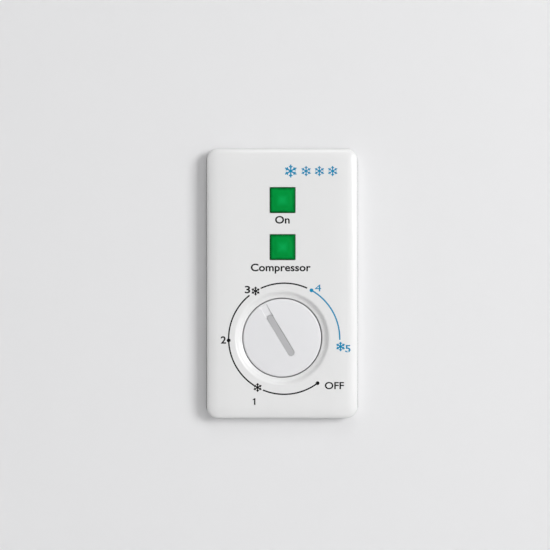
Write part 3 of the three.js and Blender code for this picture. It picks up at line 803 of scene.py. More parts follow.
def screws(
    name: str, body: str, places: Iterable[Matrix], radius: float = 4.2, head: Head = Head.CROSS
) -> bpy.types.Object:
    """Makes a set of alike screws as one piece.

    Args:
        name: The piece's name.
        body: The body they hold to.
        places: Where each head seats, its own z pointing out.
        radius: The head's radius.
        head: The drive.

    Returns:
        The piece.
    """
    shape = Shape()
    for place in places:
        if head is Head.HEX:
            shape.turn([(0, -0.3), (radius, -0.3), (radius, 1.7), (radius * 0.86, 2.1), (0, 2.1)], place, 6)
            shape.turn([(0, -0.3), (radius * 1.4, -0.3), (radius * 1.4, 0.4), (0, 0.4)], place, 20)
            continue
        dome = [(radius * math.cos(a), 0.3 + radius * 0.35 * math.sin(a)) for a in (0.0, 0.4, 0.8, 1.15)]
        top = dome[-1][1]
        shape.turn([(0, -0.3), (radius, -0.3), *dome, (radius * 0.3, top - 0.8), (0, top - 0.9)], place, 20)
    return shape.piece(name, ZINC, body)


def lettering(text: str, width: float, height: float, weight: float) -> bpy.types.Mesh:
    """Sets a word or figure as a thin solid, centred on the origin and standing on y of 0.

    Args:
        text: What it says.
        width: The width that it fills, or 0 to keep the letters' own proportion.
        height: The height of its tallest letter.
        weight: How far the strokes are thickened, as a share of the letters' size.

    Returns:
        A mesh in millimetres, reading from +z, 0.06 thick.
    """
    curve = bpy.data.curves.new("lettering", "FONT")
    curve.body, curve.extrude, curve.resolution_u, curve.offset = text, 0.5, 6, weight
    data = solid_of(curve)
    across = [vert.co.x for vert in data.vertices]
    tall = height / max(vert.co.y for vert in data.vertices)
    wide = width / (max(across) - min(across)) if width else tall * 0.94
    middle = (max(across) + min(across)) / 2
    data.transform(Matrix.Diagonal((wide, tall, 0.06, 1)) @ Matrix.Translation((-middle, 0, 0)))
    return data


# ---------------------------------------------------------------- thermostat panel


@dataclass
class ThermostatPanel:
    """The moulded panel low on the front, with its dial, its knob and two lamps."""

    width: float = 80.0
    height: float = 142.8
    corner: float = 6.0
    front: float = 9.8
    wall: float = 1.8
    lens_side: float = 13.4
    window_side: float = 13.75
    brow: Profile = (  # each step in from the side and up to the face
        (0.02, 0.5), (0.06, 0.48), (0.12, 0.42), (0.2, 0.36), (0.3, 0.28), (0.4, 0.22), (0.5, 0.18),
        (0.6, 0.16), (0.8, 0.16), (0.9, 0.12), (0.9, 0.08), (0.9, 0.04),
    )
    # size of the thin dark ring round the panel that carries the painted contact shadow
    shadow_ring_proud: float = 0.42
    shadow_ring_thick: float = 0.28
    brow_height: float = 3.5  # how far below the face the crowning starts
    crown_reach: float = 14.0
    crown_depth: float = 0.85
    dial_z: float = -28.8
    knob_radius: float = 20.7
    dish_radius: float = 24.6
    knob_face: float = 7.8
    scale_centre: tuple[float, float] = (1.05, -29.2)
    scale_radius: float = 29.3
    line_width: float = 0.74
    pointer_tilt: float = 31.0
    lamps: tuple[str, str] = ("lamp_lens_power", "lamp_lens_compressor")
    middle: Vector = field(init=False)

    def __post_init__(self) -> None:
        """Finds the panel's middle on the cabinet's front skin."""
        fascia, skin = Extent.of("control_fascia"), Extent.of("cabinet_shell")
        self.middle = Vector((fascia.middle.x, skin.low.y, fascia.middle.z))

    def place(self, x: float = 0.0, z: float = 0.0, turn: float = 0.0, out: float = 0.0) -> Matrix:
        """Returns the place of a point on the panel, from its middle and its back."""
        return Facing.FRONT.at(self.middle.x + x, self.middle.y - out, self.middle.z + z, turn)

    def surface(self, x: float, z: float) -> float:
        """Finds the height of the panel's face, before it is crowned, lower over the rounded edge.

        Args:
            x, z: The point, from the panel's middle.

        Returns:
            The height over the cabinet's skin.
        """
        inset = min(self.width / 2 - abs(x), self.height / 2 - abs(z))
        height, reach = self.front, sum(step for step, _ in self.brow)
        for step, rise in reversed(self.brow):
            reach -= step
            height -= rise * min(max((reach + step - inset) / step, 0.0), 1.0)
        return height

    def crown(self, shape: Shape) -> Shape:
        """Curves what lies on the front of the panel gently back towards its sides.

        Args:
            shape: The moulding or a print on it.

        Returns:
            The shape.
        """
        reach, deep = self.crown_reach, self.crown_depth
        for vert in shape.mesh.verts:
            apart = vert.co - self.middle
            if -apart.y < self.front - self.brow_height:
                continue
            for off, whole in ((apart.x, self.width), (apart.z, self.height)):
                vert.co.y += deep * (max(reach - whole / 2 + abs(off), 0.0) / reach) ** 2
        return shape

    def build(self) -> None:
        """Makes every piece of the panel."""
        self.fascia()
        self.contact_shadow_ring()
        self.knob()
        for node in self.lamps:
            self.lens(node)
        self.print_dial()
        self.print_words()
        for node in ("lamp_body_power", "lamp_body_compressor"):
            refined(node, BLACK_PLASTIC, "cabinet", 0.2)
        refined("thermostat_body", GREY_PLASTIC, "cabinet", 0.6)
        refined("thermostat_shaft", ZINC, "knob", 0.2)
        refined("sensor_tube", COPPER, "cabinet", 0.0)

    def fascia(self) -> None:
        """Makes the moulding with its soft front edge, its dished well and its lamp windows."""
        side = self.front - sum(rise for _, rise in self.brow) - 0.3
        shell = Shape().plate(
            self.width, self.height, self.corner, [(0, side), *self.brow], self.place(out=0.3), 10
        )
        hollow = (self.width - 2 * self.wall, self.height - 2 * self.wall)
        shell.combine(Shape().plate(*hollow, 4.4, [(0, 11.5), (2, 1.5)], self.place(out=-6), 4))
        well = self.place(0, self.dial_z)
        boss = self.knob_radius + 2.4
        shell.combine(Shape().turn([(0, -1.9), (boss, -1.9), (boss, 7.6), (0, 7.6)], well, 96), "UNION")
        rim, wall, front = self.dish_radius, self.knob_radius + 0.42, self.front
        dish = [
            (0, front + 2), (rim + 0.9, front + 2), (rim + 0.9, front), (rim + 0.2, front - 0.1),
            (rim - 0.4, front - 0.4), (rim - 1.0, front - 1.05), (rim - 1.7, front - 1.6),
            (rim - 2.6, front - 1.92), (wall + 0.3, front - 1.98), (wall, front - 2.3), (wall, -0.5),
            (0, -0.5),
        ]
        shell.combine(Shape().turn(dish, well, 96))
        shell.combine(Shape().turn([(0, -4), (6, -4), (6, 2), (0, 2)], well, 24))
        for node in self.lamps:
            spot = Extent.of(node).middle - self.middle
            window = self.place(spot.x, spot.z, 0, -4)
            shell.combine(Shape().plate(self.window_side, self.window_side, 0.5, [(0, 14)], window, 3))
        self.score(shell)
        self.crown(shell).piece("fascia_moulding", FASCIA_WHITE, "cabinet", ["control_fascia"], crease=48)

    def score(self, shape: Shape) -> None:
        """Divides the moulding's flat face near its sides, so that it can be crowned.

        Args:
            shape: The moulding.
        """
        mesh = shape.mesh
        for inset in (6.0, 8.0, 10.0, 12.0, self.crown_reach):
            for side in (-1, 1):
                x, z = side * (self.width / 2 - inset), side * (self.height / 2 - inset)
                for across, normal in (((x, 0, 0), (1, 0, 0)), ((0, 0, z), (0, 0, 1))):
                    bmesh.ops.bisect_plane(
                        mesh, geom=mesh.verts[:] + mesh.edges[:] + mesh.faces[:], dist=1e-4,
                        plane_co=self.middle + Vector(across), plane_no=normal,
                    )

    def contact_shadow_ring(self) -> None:
        """Makes a thin dark ring, drawn as a seal, just proud of the panel's outline; its dark grey is
        painted contact shadow along the panel's edge.
        """
        proud = self.shadow_ring_proud
        ring = Shape().plate(
            self.width + 2 * proud, self.height + 2 * proud, self.corner + proud, [(0, self.shadow_ring_thick)],
            self.place(out=0.02), 10,
        )
        inside = self.place(out=-2)
        ring.combine(Shape().plate(self.width - 1, self.height - 1, self.corner - 0.5, [(0, 4)], inside, 10))
        # the ring's dark grey is painted contact shadow round the panel
        ring.piece("fascia_seal_painted_shadow", CONTACT_SHADOW_GREY, "cabinet")

    def knob(self) -> None:
        """Makes the flat knob, its coin slot and the grey pad on the slot's floor, whose grey is partly the
        pointer's own grey and partly painted shade of the recessed slot.
        """
        centre = self.place(0, self.dial_z, self.pointer_tilt)
        radius, face = self.knob_radius, self.knob_face
        disc = Shape().turn(
            [
                (0, -1.9), (5, -1.9), (5, face - 4.2), (radius - 0.1, face - 4), (radius, face - 3.6),
                (radius, face - 1.1), (radius - 0.12, face - 0.78), (radius - 0.4, face - 0.58),
                (radius - 0.9, face - 0.48), (17.0, face - 0.34), (14.0, face - 0.22), (10.0, face - 0.11),
                (6.0, face - 0.04), (2.5, face), (0, face),
            ],
            centre, 96,
        )
        bed = centre @ Matrix.Translation((0, 1.45, face - 1.6))
        disc.combine(Shape().plate(3.6, 24.8, 1.78, [(0, 1.45), (-0.25, 0.3)], bed, 8))
        lean = centre @ Matrix.Translation((0, 12.2, face - 1.0)) @ Matrix.Rotation(math.radians(3.0), 4, "X")
        disc.combine(Shape().block((-2.0, 0, 0), (2.0, 11, 6), lean, 0.3))
        disc.combine(Shape().turn([(0, -4), (3.2, -4), (3.2, 3), (0, 3)], centre, 24))
        disc.piece("knob_moulding", KNOB_WHITE, "knob", ["thermostat_knob"], crease=48)
        # grey pad on the slot's floor; its grey is partly painted shade of the recessed slot
        slot_floor_pad = Shape().plate(3.4, 24.6, 1.68, [(0, 1.2), (0.15, 0.1)], bed, 8)
        slot_floor_pad.piece("knob_slot_floor_and_painted_shade", SLOT_GREY_AND_SHADE, "knob")

    def lens(self, node: str) -> None:
        """Makes a square lens with a raised rim and a softly crowned middle.

        Args:
            node: The CAD lens that it stands for.
        """
        spot = Extent.of(node).middle - self.middle
        finish = LensFinish(
            "green_" + node, "green_lens", (0, 144, 60), 0.34, texture=Texture.POLISHED, height=0.14,
            drift=0.4, dust=0.0, glow=0.02, gloss=0.05, centre=tuple(Extent.of(node).middle),
        )
        place = self.place(spot.x, spot.z, 0, 4)
        side = self.lens_side
        shape = Shape().plate(side, side, 0.9, [(0, 5.6), (0.12, 0.35), (0.28, 0.2), (0.4, 0.05)], place, 4)
        shape.plate(9.8, 9.8, 3.0, [(0, 6.15), (0.5, 0.14), (0.8, 0.11), (1.2, 0.06)], place, 5)
        shape.piece(node + "_moulding", finish, "cabinet", [node])

    def arc(self, shape: Shape, start: float, end: float) -> None:
        """Prints one stretch of the dial's scale line.

        Args:
            shape: The print it belongs to.
            start, end: The angles it runs between, in degrees anticlockwise from the right.
        """
        part = bmesh.new()
        verts = bmesh.ops.create_grid(part, x_segments=1, y_segments=1, size=0.5)["verts"]
        bmesh.ops.scale(part, vec=(self.line_width, 0.06, 1), verts=verts)
        upright = Matrix.Translation((self.scale_radius, 0, 0)) @ Matrix.Rotation(math.pi / 2, 4, "X")
        bmesh.ops.transform(part, matrix=Matrix.Rotation(math.radians(start), 4, "Z") @ upright, verts=verts)
        bmesh.ops.spin(
            part, geom=part.faces[:] + part.edges[:] + part.verts[:], cent=(0, 0, 0), axis=(0, 0, 1),
            angle=math.radians(end - start), steps=max(int(abs(end - start) / 2), 2),
        )
        bmesh.ops.remove_doubles(part, verts=part.verts, dist=1e-4)
        x, z = self.scale_centre
        shape.take(part, self.place(x, z, 0, self.front))

    def on_scale(self, angle: float, radius: float | None = None) -> tuple[float, float]:
        """Returns a point of the dial's scale, from the panel's middle."""
        reach, turn = radius or self.scale_radius, math.radians(angle)
        return self.scale_centre[0] + reach * math.cos(turn), self.scale_centre[1] + reach * math.sin(turn)

    def dot(self, shape: Shape, x: float, z: float, radius: float = 1.0) -> None:
        """Prints a round dot at a point from the panel's middle."""
        flat = [(0, -0.03), (radius, -0.03), (radius, 0.035), (0, 0.035)]
        shape.turn(flat, self.place(x, z, 0, self.surface(x, z)), 24)

    def snowflake(self, shape: Shape, x: float, z: float, reach: float = 2.3, stroke: float = 0.62) -> None:
        """Prints a six-armed snowflake.

        Args:
            shape: The print it belongs to.
            x, z: Its middle, from the panel's middle.
            reach: The length of an arm.
            stroke: The width of a line.
        """
        out = self.surface(x, z)
        for arm in range(6):
            turned = self.place(x, z, 60 * arm + 30, out)
            shape.block((0, -stroke / 2, -0.03), (reach, stroke / 2, 0.03 + arm * 0.001), turned)
            fork = turned @ Matrix.Translation((reach * 0.52, 0, 0))
            for lean in (-1, 1):
                twig = fork @ Matrix.Rotation(lean * 0.85, 4, "Z")
                shape.block((0, -stroke * 0.38, -0.03), (reach * 0.36, stroke * 0.38, 0.028), twig)

    def print_dial(self) -> None:
        """Prints the black and the blue parts of the dial's scale."""
        black, blue = Shape(), Shape()
        for start, end in ((-53.1, -112.5), (237.3, 128.6), (115.0, 65.7)):
            self.arc(black, start, end)
        self.arc(blue, 60.6, -1.1)
        for angle in (-53.1, 181.7):
            self.dot(black, *self.on_scale(angle))
        self.dot(blue, *self.on_scale(60.6))
        for angle in (241.4, 121.0):
            self.snowflake(black, *self.on_scale(angle))
        self.snowflake(blue, *self.on_scale(-7.9, 30.0), 2.45, 0.7)
        for x, reach in ((4.5, 3.4), (12.6, 2.7), (19.6, 2.7), (26.6, 2.7)):
            self.snowflake(blue, x, 59.2, reach, reach * 0.21)
        self.crown(black).piece("dial_scale_black", BLACK_INK, "cabinet")
        self.crown(blue).piece("dial_scale_blue", BLUE_INK, "cabinet")

    def print_words(self) -> None:
        """Prints the figures round the dial and the plain words under the lamps."""
        marks = (
            ("On", 0.1, 31.64, 7.7, 3.9, 0.02, BLACK_INK),
            ("Compressor", -0.76, 6.5, 31.6, 3.9, 0.02, BLACK_INK),
            ("OFF", 27.5, -55.7, 10.1, 3.7, 0.018, BLACK_INK), ("1", -14.5, -64.1, 0.72, 3.5, 0.0, BLACK_INK),
            ("2", -31.0, -31.7, 2.8, 3.8, 0.02, BLACK_INK), ("3", -18.3, -5.12, 2.85, 3.8, 0.02, BLACK_INK),
            ("4", 18.9, -4.2, 3.3, 3.6, 0.001, BLUE_INK), ("5", 34.65, -36.2, 2.8, 3.7, 0.02, BLUE_INK),
        )
        for ink, name in ((BLACK_INK, "panel_words_black"), (BLUE_INK, "panel_figures_blue")):
            shape = Shape()
            for text, x, z, width, height, weight, _ in (mark for mark in marks if mark[-1] is ink):
                data = lettering(text, width, height, weight)
                for vert in data.vertices:
                    vert.co.z += self.surface(x + vert.co.x, z + vert.co.y)
                data.transform(self.place(x, z))
                shape.mesh.from_mesh(data)
                bpy.data.meshes.remove(data)
            if ink is BLACK_INK:
                flag = self.place(-14.35, -60.75, 32, self.front)
                shape.block((-1.35, -0.25, -0.03), (0.1, 0.25, 0.032), flag)
            self.crown(shape).piece(name, ink, "cabinet")


# ---------------------------------------------------------------- cabinet


@dataclass
class Cabinet:
    """The painted shell with its rim, its back, its base, its side grille and what is fixed to them."""

    skin: Extent = field(default_factory=lambda: Extent.of("cabinet_shell"))
    louvre: tuple[float, float, float] = (330.0, 550.0, 190.0)  # ends in x and lowest slot of the rear vent
    louvre_pitch: float = 18.0
    louvres: int = 7
    screw: float = 4.0
    grille_fixing: tuple[float, float] = (141.0, 86.0)  # from the grille's middle, along it and up
    pressed: tuple[tuple[float, float, float, float], ...] = (  # x, z, width and height of each framed panel
        (-270.0, 400.0, 560.0, 520.0), (235.0, 560.0, 330.0, 210.0),
    )

    def build(self) -> None:
        """Makes every piece of the cabinet."""
        refined("cabinet_shell", WHITE_STEEL, "cabinet", 0.25)
        refined("rim_frame", WHITE_PLASTIC, "cabinet", 1.2, 3)
        refined("base_pan", GALVANISED, "cabinet", 0.3)
        refined("rear_panel", GALVANISED, "cabinet", 0.2)
        for side in ("left", "right"):
            refined("rear_spacer_" + side, GREY_PLASTIC, "cabinet", 1.6, 3)
        self.grille()
        self.rear_ribs()
        self.rear_hoods()
        self.fixings()

    def grille(self) -> None:
        """Makes the side grille, with its countersunk screws at the corners."""
        box, grille = Extent.of("side_grille"), Shape.copy_of("side_grille").soften(0.7)
        along, up = self.grille_fixing
        corners = [
            Facing.RIGHT.at(box.high.x, box.middle.y + sy * along, box.middle.z + sz * up, 25)
            for sy in (-1, 1) for sz in (-1, 1)
        ]
        for corner in corners:
            grille.combine(Shape().turn([(0, -1.6), (3.6, -1.6), (4.6, 0.4), (0, 0.4)], corner, 24))
        grille.piece("side_grille_moulding", WHITE_PLASTIC, "cabinet", ["side_grille"])
        sunk = Matrix.Translation((0, 0, -1.55))
        screws("side_grille_screws", "cabinet", [corner @ sunk for corner in corners], 3.3)

    def rear_ribs(self) -> None:
        """Presses two long framed panels into the back sheet, to stiffen it."""
        ribs, back = Shape(), self.skin.high.y
        for x, z, width, height in self.pressed:
            for inset, tall in ((0.0, 3.2), (34.0, 2.6)):
                place = Facing.REAR.at(x, back - 0.8, z)
                path = path_round(
                    [
                        place @ Vector((sx * (width / 2 - inset), sz * (height / 2 - inset), 0))
                        for sx, sz in ((-1, -1), (1, -1), (1, 1), (-1, 1))
                    ],
                    30.0, True,
                )
                ribs.sweep(path, tall, 10, True)
        ribs.piece("rear_panel_ribs", GALVANISED, "cabinet")

    def rear_hoods(self) -> None:
        """Hangs a pressed hood over each slot of the rear vent."""
        hoods, back = Shape(), self.skin.high.y
        low, high, lowest = self.louvre
        for step in range(self.louvres):
            z = lowest + 8 + self.louvre_pitch * step
            lean = Matrix.Translation((0, back, z + 3)) @ Matrix.Rotation(math.radians(28), 4, "X")
            hoods.block((low - 4, -0.6, -13), (high + 4, 0.6, 0), lean, 0.3)
            for x in (low - 4, high + 3):
                hoods.block((x, back - 0.4, z - 5), (x + 1, back + 2.8, z + 2), None, 0.3)
        hoods.piece("rear_vent_hoods", GALVANISED, "cabinet")

    def fixings(self) -> None:
        """Drives the screws that hold the back and the mains inlet."""
        back = self.skin.high.y
        edges = [(x, z) for x in (-580, 580) for z in (80, 230, 400, 560, 700)]
        edges += [(x, z) for x in (-400, -200, 0, 200) for z in (74, 766)]
        screws("rear_panel_screws", "cabinet", [Facing.REAR.at(x, back, z, x) for x, z in edges], self.screw)
        inlet = Extent.of("mains_inlet")
        x, y, z = inlet.middle.x, inlet.high.y - 0.2, inlet.middle.z
        ears = [Facing.REAR.at(x + side * 18.5, y, z, 40) for side in (-1, 1)]
        screws("mains_inlet_screws", "cabinet", ears, 2.3)


# ---------------------------------------------------------------- tub


@dataclass
class Tub:
    """The embossed aluminium tub, its drain, and the step over the machine compartment."""

    plug_flange: float = 8.4  # height of the plug's flange over its tip
    ring_wire: float = 1.7
    grip_ribs: int = 24

    def build(self) -> None:
        """Makes every piece of the tub."""
        liner = refined("inner_liner", STUCCO_LINER, "cabinet", 0.0)
        liner.data.set_sharp_from_angle(angle=math.radians(50))
        refined("compartment_bulkhead", GALVANISED, "cabinet", 0.3)
        refined("drain_tube", GREY_PLASTIC, "cabinet", 0.5)
        self.plug()
        self.cap()

    def plug(self) -> None:
        """Makes the drain plug in the tub floor, with its pull ring."""
        box = Extent.of("drain_plug")
        x, y, radius, low, high = box.middle.x, box.middle.y, box.size.x / 2, box.low.z, box.high.z
        body = Facing.UP.at(x, y, low)
        plug = Shape().turn(
            [
                (0, 0), (6.6, 0), (7.6, 1.2), (8.1, self.plug_flange), (radius - 0.6, self.plug_flange),
                (radius, 9.0), (radius, 10.6),
                (radius - 0.8, 11.6), (radius - 5, 12.2), (0, 12.4),
            ],
            body, 40,
        )
        foot, crest = low + 11.5, high - 1.8
        arch = path_round([(x - 6, y, foot), (x - 6, y, crest), (x + 6, y, crest), (x + 6, y, foot)], 5)
        plug.sweep(arch, self.ring_wire, 10)
        plug.piece("drain_plug_finished", RUBBER, "drain_plug", ["drain_plug"])

    def cap(self) -> None:
        """Makes the screw cap over the drain outlet on the front, with grip ribs."""
        box = Extent.of("drain_cap")
        depth, radius = box.size.y, box.size.x / 2
        place = Facing.FRONT.at(box.middle.x, box.high.y, box.middle.z)
        shape = Shape.copy_of("drain_cap").soften(0.8, 3)
        for step in range(self.grip_ribs):
            rib = place @ Matrix.Rotation(2 * math.pi * step / self.grip_ribs, 4, "Z")
            shape.block((radius - 1.2, -0.5, depth - 10.5), (radius - 0.05, 0.5, depth - 1.4), rib, 0.3)
        shape.piece("drain_cap_finished", WHITE_PLASTIC, "drain_cap", ["drain_cap"], outward=False)


# ---------------------------------------------------------------- lid


@dataclass
class Lid:
    """The foamed lid with its plug pan, gasket, lamp, handle and lock."""

    round: float = 9.0  # radius of the top edge
    sheet: float = 0.8
    gasket_bead: float = 3.1
    lock_height: float = 800.0

    def build(self) -> None:
        """Makes every piece of the lid and of the lock."""
        self.skin()
        refined("lid_liner", WHITE_PLASTIC, "lid", 0.9, 3)
        self.gasket()
        self.lamp()
        refined("lid_handle", WHITE_PLASTIC, "lid", 1.5, 3)
        self.lock()

    def skin(self) -> None:
        """Presses the painted lid skin, hollow below, with a generous top edge."""
        box = Extent.of("lid_skin")
        width, depth, tall = box.size
        inner = [(0, box.low.z - box.high.z + self.sheet), (-self.sheet, 0), (0, tall - self.round)]
        turns = [math.radians(15 * step) for step in range(7)]
        brow = [
            (self.round * (math.cos(low) - math.cos(high)), self.round * (math.sin(high) - math.sin(low)))
            for low, high in zip(turns, turns[1:])
        ]
        skin = Shape().plate(
            width - 2 * self.sheet, depth - 2 * self.sheet, 15.2, [*inner, *brow],
            Facing.UP.at(0, 0, box.high.z - self.sheet), 8,
        )
        skin.piece("lid_skin_pressing", WHITE_STEEL, "lid", ["lid_skin"], crease=40)

    def gasket(self) -> None:
        """Lays the bellows of the magnetic gasket round the lid."""
        box, shape = Extent.of("lid_gasket"), Shape()
        middle_z, bead = box.middle.z, self.gasket_bead
        folds = ((bead, middle_z, bead), (10.0, middle_z, bead), (20 - bead, middle_z, bead))
        seams = ((6.5, box.high.z - 1.6, 1.5), (13.5, box.high.z - 1.6, 1.5))
        for inset, z, radius in folds + seams:
            x, y = box.high.x - inset, box.high.y - inset
            path = path_round([(x, -y, z), (x, y, z), (-x, y, z), (-x, -y, z)], 22 - inset / 2, True)
            shape.sweep(path, radius, 12, True)
        shape.piece("lid_gasket_bellows", GASKET, "lid", ["lid_gasket"])

    def lamp(self) -> None:
        """Makes the lamp lens under the lid, with its moulded prisms."""
        box = Extent.of("lid_lamp_lens")
        place = Facing.DOWN.at(box.middle.x, box.middle.y, box.high.z)
        levels = [(0, 4.4), (0.5, 1.2), (1.1, 0.8), (2.2, 0.5)]
        lens = Shape().plate(box.size.x, box.size.y, 8.0, levels, place, 5)
        for step in range(-11, 12):
            lens.block((step * 4 - 0.7, -15, 6.2), (step * 4 + 0.7, 15, 7.5), place, 0.45)
        lens.piece("lid_lamp_lens_moulding", CLEAR_LENS, "lid", ["lid_lamp_lens"])

    def lock(self) -> None:
        """Makes the lock barrel with its keyway, and the striker on the cabinet."""
        box = Extent.of("lock_barrel")
        barrel = Shape.copy_of("lock_barrel").soften(0.4)
        keyway = Facing.FRONT.at(0.0, box.low.y, self.lock_height)
        barrel.combine(Shape().block((-0.8, -4.2, -5), (0.8, 4.2, 1), keyway))
        barrel.combine(Shape().turn([(0, -3), (2.3, -3), (2.3, 1), (0, 1)], keyway, 20))
        barrel.piece("lock_barrel_finished", BRASS_PIN, "lock", ["lock_barrel"], outward=False)
        refined("lock_striker", ZINC, "cabinet", 0.4)
        plate = Extent.of("lock_striker")
        screws(
            "lock_striker_screws", "cabinet",
            [Facing.FRONT.at(sx * 11.5, plate.high.y - 2.5, plate.low.z + 8, 30 * sx) for sx in (-1, 1)], 3.0,
        )


# ---------------------------------------------------------------- hinges


@dataclass
class Hinges:
    """The two counterbalance hinges: plates, pins and the coil springs round the pins."""

    coils: float = 9.0
    wire: float = 1.05
    spring_radius: float = 5.4

    def build(self) -> None:
        """Makes every piece of both hinges."""
        for side in ("left", "right"):
            refined("hinge_base_" + side, ZINC, "cabinet", 0.6)
            refined("hinge_arm_" + side, ZINC, "lid", 0.6)
            refined("hinge_pin_" + side, ZINC, "cabinet", 0.5)
            self.spring(side)
            self.plate_screws(side)

    def spring(self, side: str) -> None:
        """Winds the spring round the pin.

        Args:
            side: Which hinge.
        """
        box = Extent.of("hinge_spring_" + side)
        steps, middle = int(self.coils * 20), box.middle
        reach = box.size.x - 2 * self.wire
        path = [
            Vector((
                box.low.x + self.wire + reach * step / steps,
                middle.y + self.spring_radius * math.cos(2 * math.pi * self.coils * step / steps),
                middle.z + self.spring_radius * math.sin(2 * math.pi * self.coils * step / steps),
            ))
            for step in range(steps + 1)
        ]
        shape = Shape().sweep(path, self.wire, 8)
        shape.piece("hinge_coil_" + side, BLACK_STEEL, "cabinet", ["hinge_spring_" + side])

    def plate_screws(self, side: str) -> None:
        """Drives the screws through both plates of a hinge.

        Args:
            side: Which hinge.
        """
        base, arm = Extent.of("hinge_base_" + side), Extent.of("hinge_arm_" + side)
        face = Extent.of("cabinet_shell").high.y + 3.0
        x, low_z, high_z = base.middle.x, base.low.z, arm.high.z
        low = [Facing.REAR.at(x + dx, face, low_z + dz, 20) for dx in (-28, 28) for dz in (12, 44)]
        x = arm.middle.x
        high = [Facing.REAR.at(x + dx, face, high_z - dz, 50) for dx in (-19, 19) for dz in (11, 32)]
        screws("hinge_base_screws_" + side, "cabinet", low, 4.4, Head.HEX)
        screws("hinge_arm_screws_" + side, "lid", high, 4.4, Head.HEX)


# ---------------------------------------------------------------- rollers and feet


@dataclass
class Undercarriage:
    """Two rollers at the heavy end and two levelling feet at the other."""

    tyre: float = 3.0
    spokes: int = 8
    foot_ribs: int = 16

    def build(self) -> None:
        """Makes every piece that the freezer stands on."""
        for end in ("front", "rear"):
            refined("roller_bracket_" + end, GALVANISED, "cabinet", 0.5)
            refined("roller_pin_" + end, ZINC, "cabinet", 0.8)
            self.roller(end)
            self.foot(end)

    def roller(self, end: str) -> None:
        """Makes a roller: a ribbed hub in a soft tyre.

        Args:
            end: Which end of the freezer.
        """
        box = Extent.of("roller_" + end)
        radius, width = box.size.x / 2, box.size.y
        place = Facing.FRONT.at(box.middle.x, box.high.y, box.middle.z)
        rim = radius - self.tyre
        hub = Shape().turn(
            [
                (4.4, 0.4), (9, 0.4), (9.5, 3.2), (rim - 4, 3.2), (rim - 3, 0.8), (rim + 0.3, 0.8),
                (rim + 0.3, width - 0.8), (rim - 3, width - 0.8), (rim - 4, width - 3.2), (9.5, width - 3.2),
                (9, width - 0.4), (4.4, width - 0.4),
            ],
            place, 48,
        )
        for spoke in range(self.spokes):
            turned = place @ Matrix.Rotation(2 * math.pi * spoke / self.spokes, 4, "Z")
            hub.block((8.8, -0.9, 1.2), (rim - 3, 0.9, width - 1.2), turned, 0.3)
        hub.piece("roller_hub_" + end, GREY_PLASTIC, "roller_" + end, ["roller_" + end])
        tyre = Shape().turn(
            [
                (rim, 0.0), (radius - 1.2, 0.0), (radius - 0.3, 0.5), (radius, 1.6), (radius, width / 2 - 1),
                (radius - 0.6, width / 2 - 0.5), (radius - 0.6, width / 2 + 0.5), (radius, width / 2 + 1),
                (radius, width - 1.6), (radius - 0.3, width - 0.5), (radius - 1.2, width), (rim, width),
            ],
            place, 64,
        )
        tyre.piece("roller_tyre_" + end, RUBBER, "roller_" + end)

    def foot(self, end: str) -> None:
        """Makes a levelling foot: a ribbed pad on a threaded stem.

        Args:
            end: Which end of the freezer.
        """
        box = Extent.of("foot_" + end)
        place = Facing.UP.at(box.middle.x, box.middle.y, 0)
        top = box.high.z
        foot = Shape().turn(
            [
                (0, 0), (21.6, 0), (22.6, 0.8), (23, 2.2), (22.6, 3.8), (20, 5.6), (15.6, 13), (14, 16.5),
                (13.6, 18), (13.6, 60.5), (13, 61.6), (5, 61.6), (5, top - 1), (4.2, top), (0, top),
            ],
            place, 48,
        )
        for step in range(self.foot_ribs):
            turned = place @ Matrix.Rotation(2 * math.pi * step / self.foot_ribs, 4, "Z")
            foot.block((12.6, -1.0, 19), (14.0, 1.0, 58), turned, 0.4)
        foot.piece("foot_moulding_" + end, BLACK_PLASTIC, "foot_" + end, ["foot_" + end])


# ---------------------------------------------------------------- cooling unit


@dataclass
class CoolingUnit:
    """The compressor with its relay and mounts, the pipework and the mains inlet."""

    pin: tuple[float, float] = (0.6, 2.3)  # half thickness and half height of a contact

    def build(self) -> None:
        """Makes every piece of the cooling unit."""
        dome = refined("compressor_dome", BLACK_STEEL, "cabinet", 0.0)
        dome.data.set_sharp_from_angle(angle=math.radians(40))
        self.weld()
        refined("relay_cover", BLACK_PLASTIC, "cabinet", 1.2, 3)
        refined("compressor_carrier", GALVANISED, "cabinet", 0.6)
        for number in range(1, 5):
            refined(f"grommet_{number}", RUBBER, "cabinet", 0.8, 3)
        for node in ("evaporator_tube", "condenser_tube", "capillary_tube", "filter_drier"):
            refined(node, COPPER, "cabinet", 0.0)
        refined("mains_inlet", BLACK_PLASTIC, "cabinet", 0.5)
        self.contacts()

    def weld(self) -> None:
        """Runs the weld bead round the compressor's shell."""
        box = Extent.of("compressor_dome")
        z = box.low.z + box.size.z * 0.52
        across, along = box.size.x / 2 - 1.4, box.size.y / 2 - 1.4
        path = [
            Vector((box.middle.x + across * math.cos(a), box.middle.y + along * math.sin(a), z))
            for a in (math.radians(7.5 * step) for step in range(48))
        ]
        Shape().sweep(path, 1.3, 8, True).piece("compressor_weld_seam", BLACK_STEEL, "cabinet")

    def contacts(self) -> None:
        """Sets the three contacts in the inlet's socket."""
        box, shape = Extent.of("mains_inlet"), Shape()
        x, z, face = box.middle.x, box.middle.z, box.high.y
        half, tall = self.pin
        for dx, dz in ((-7.0, -1.6), (7.0, -1.6), (0.0, 2.0)):
            low = (x + dx - half, face - 18.2, z + dz - tall)
            high = (x + dx + half, face - 4, z + dz + tall)
            shape.block(low, high, None, 0.25)
        shape.piece("mains_inlet_contacts", BRASS_PIN, "cabinet")


# ---------------------------------------------------------------- baskets


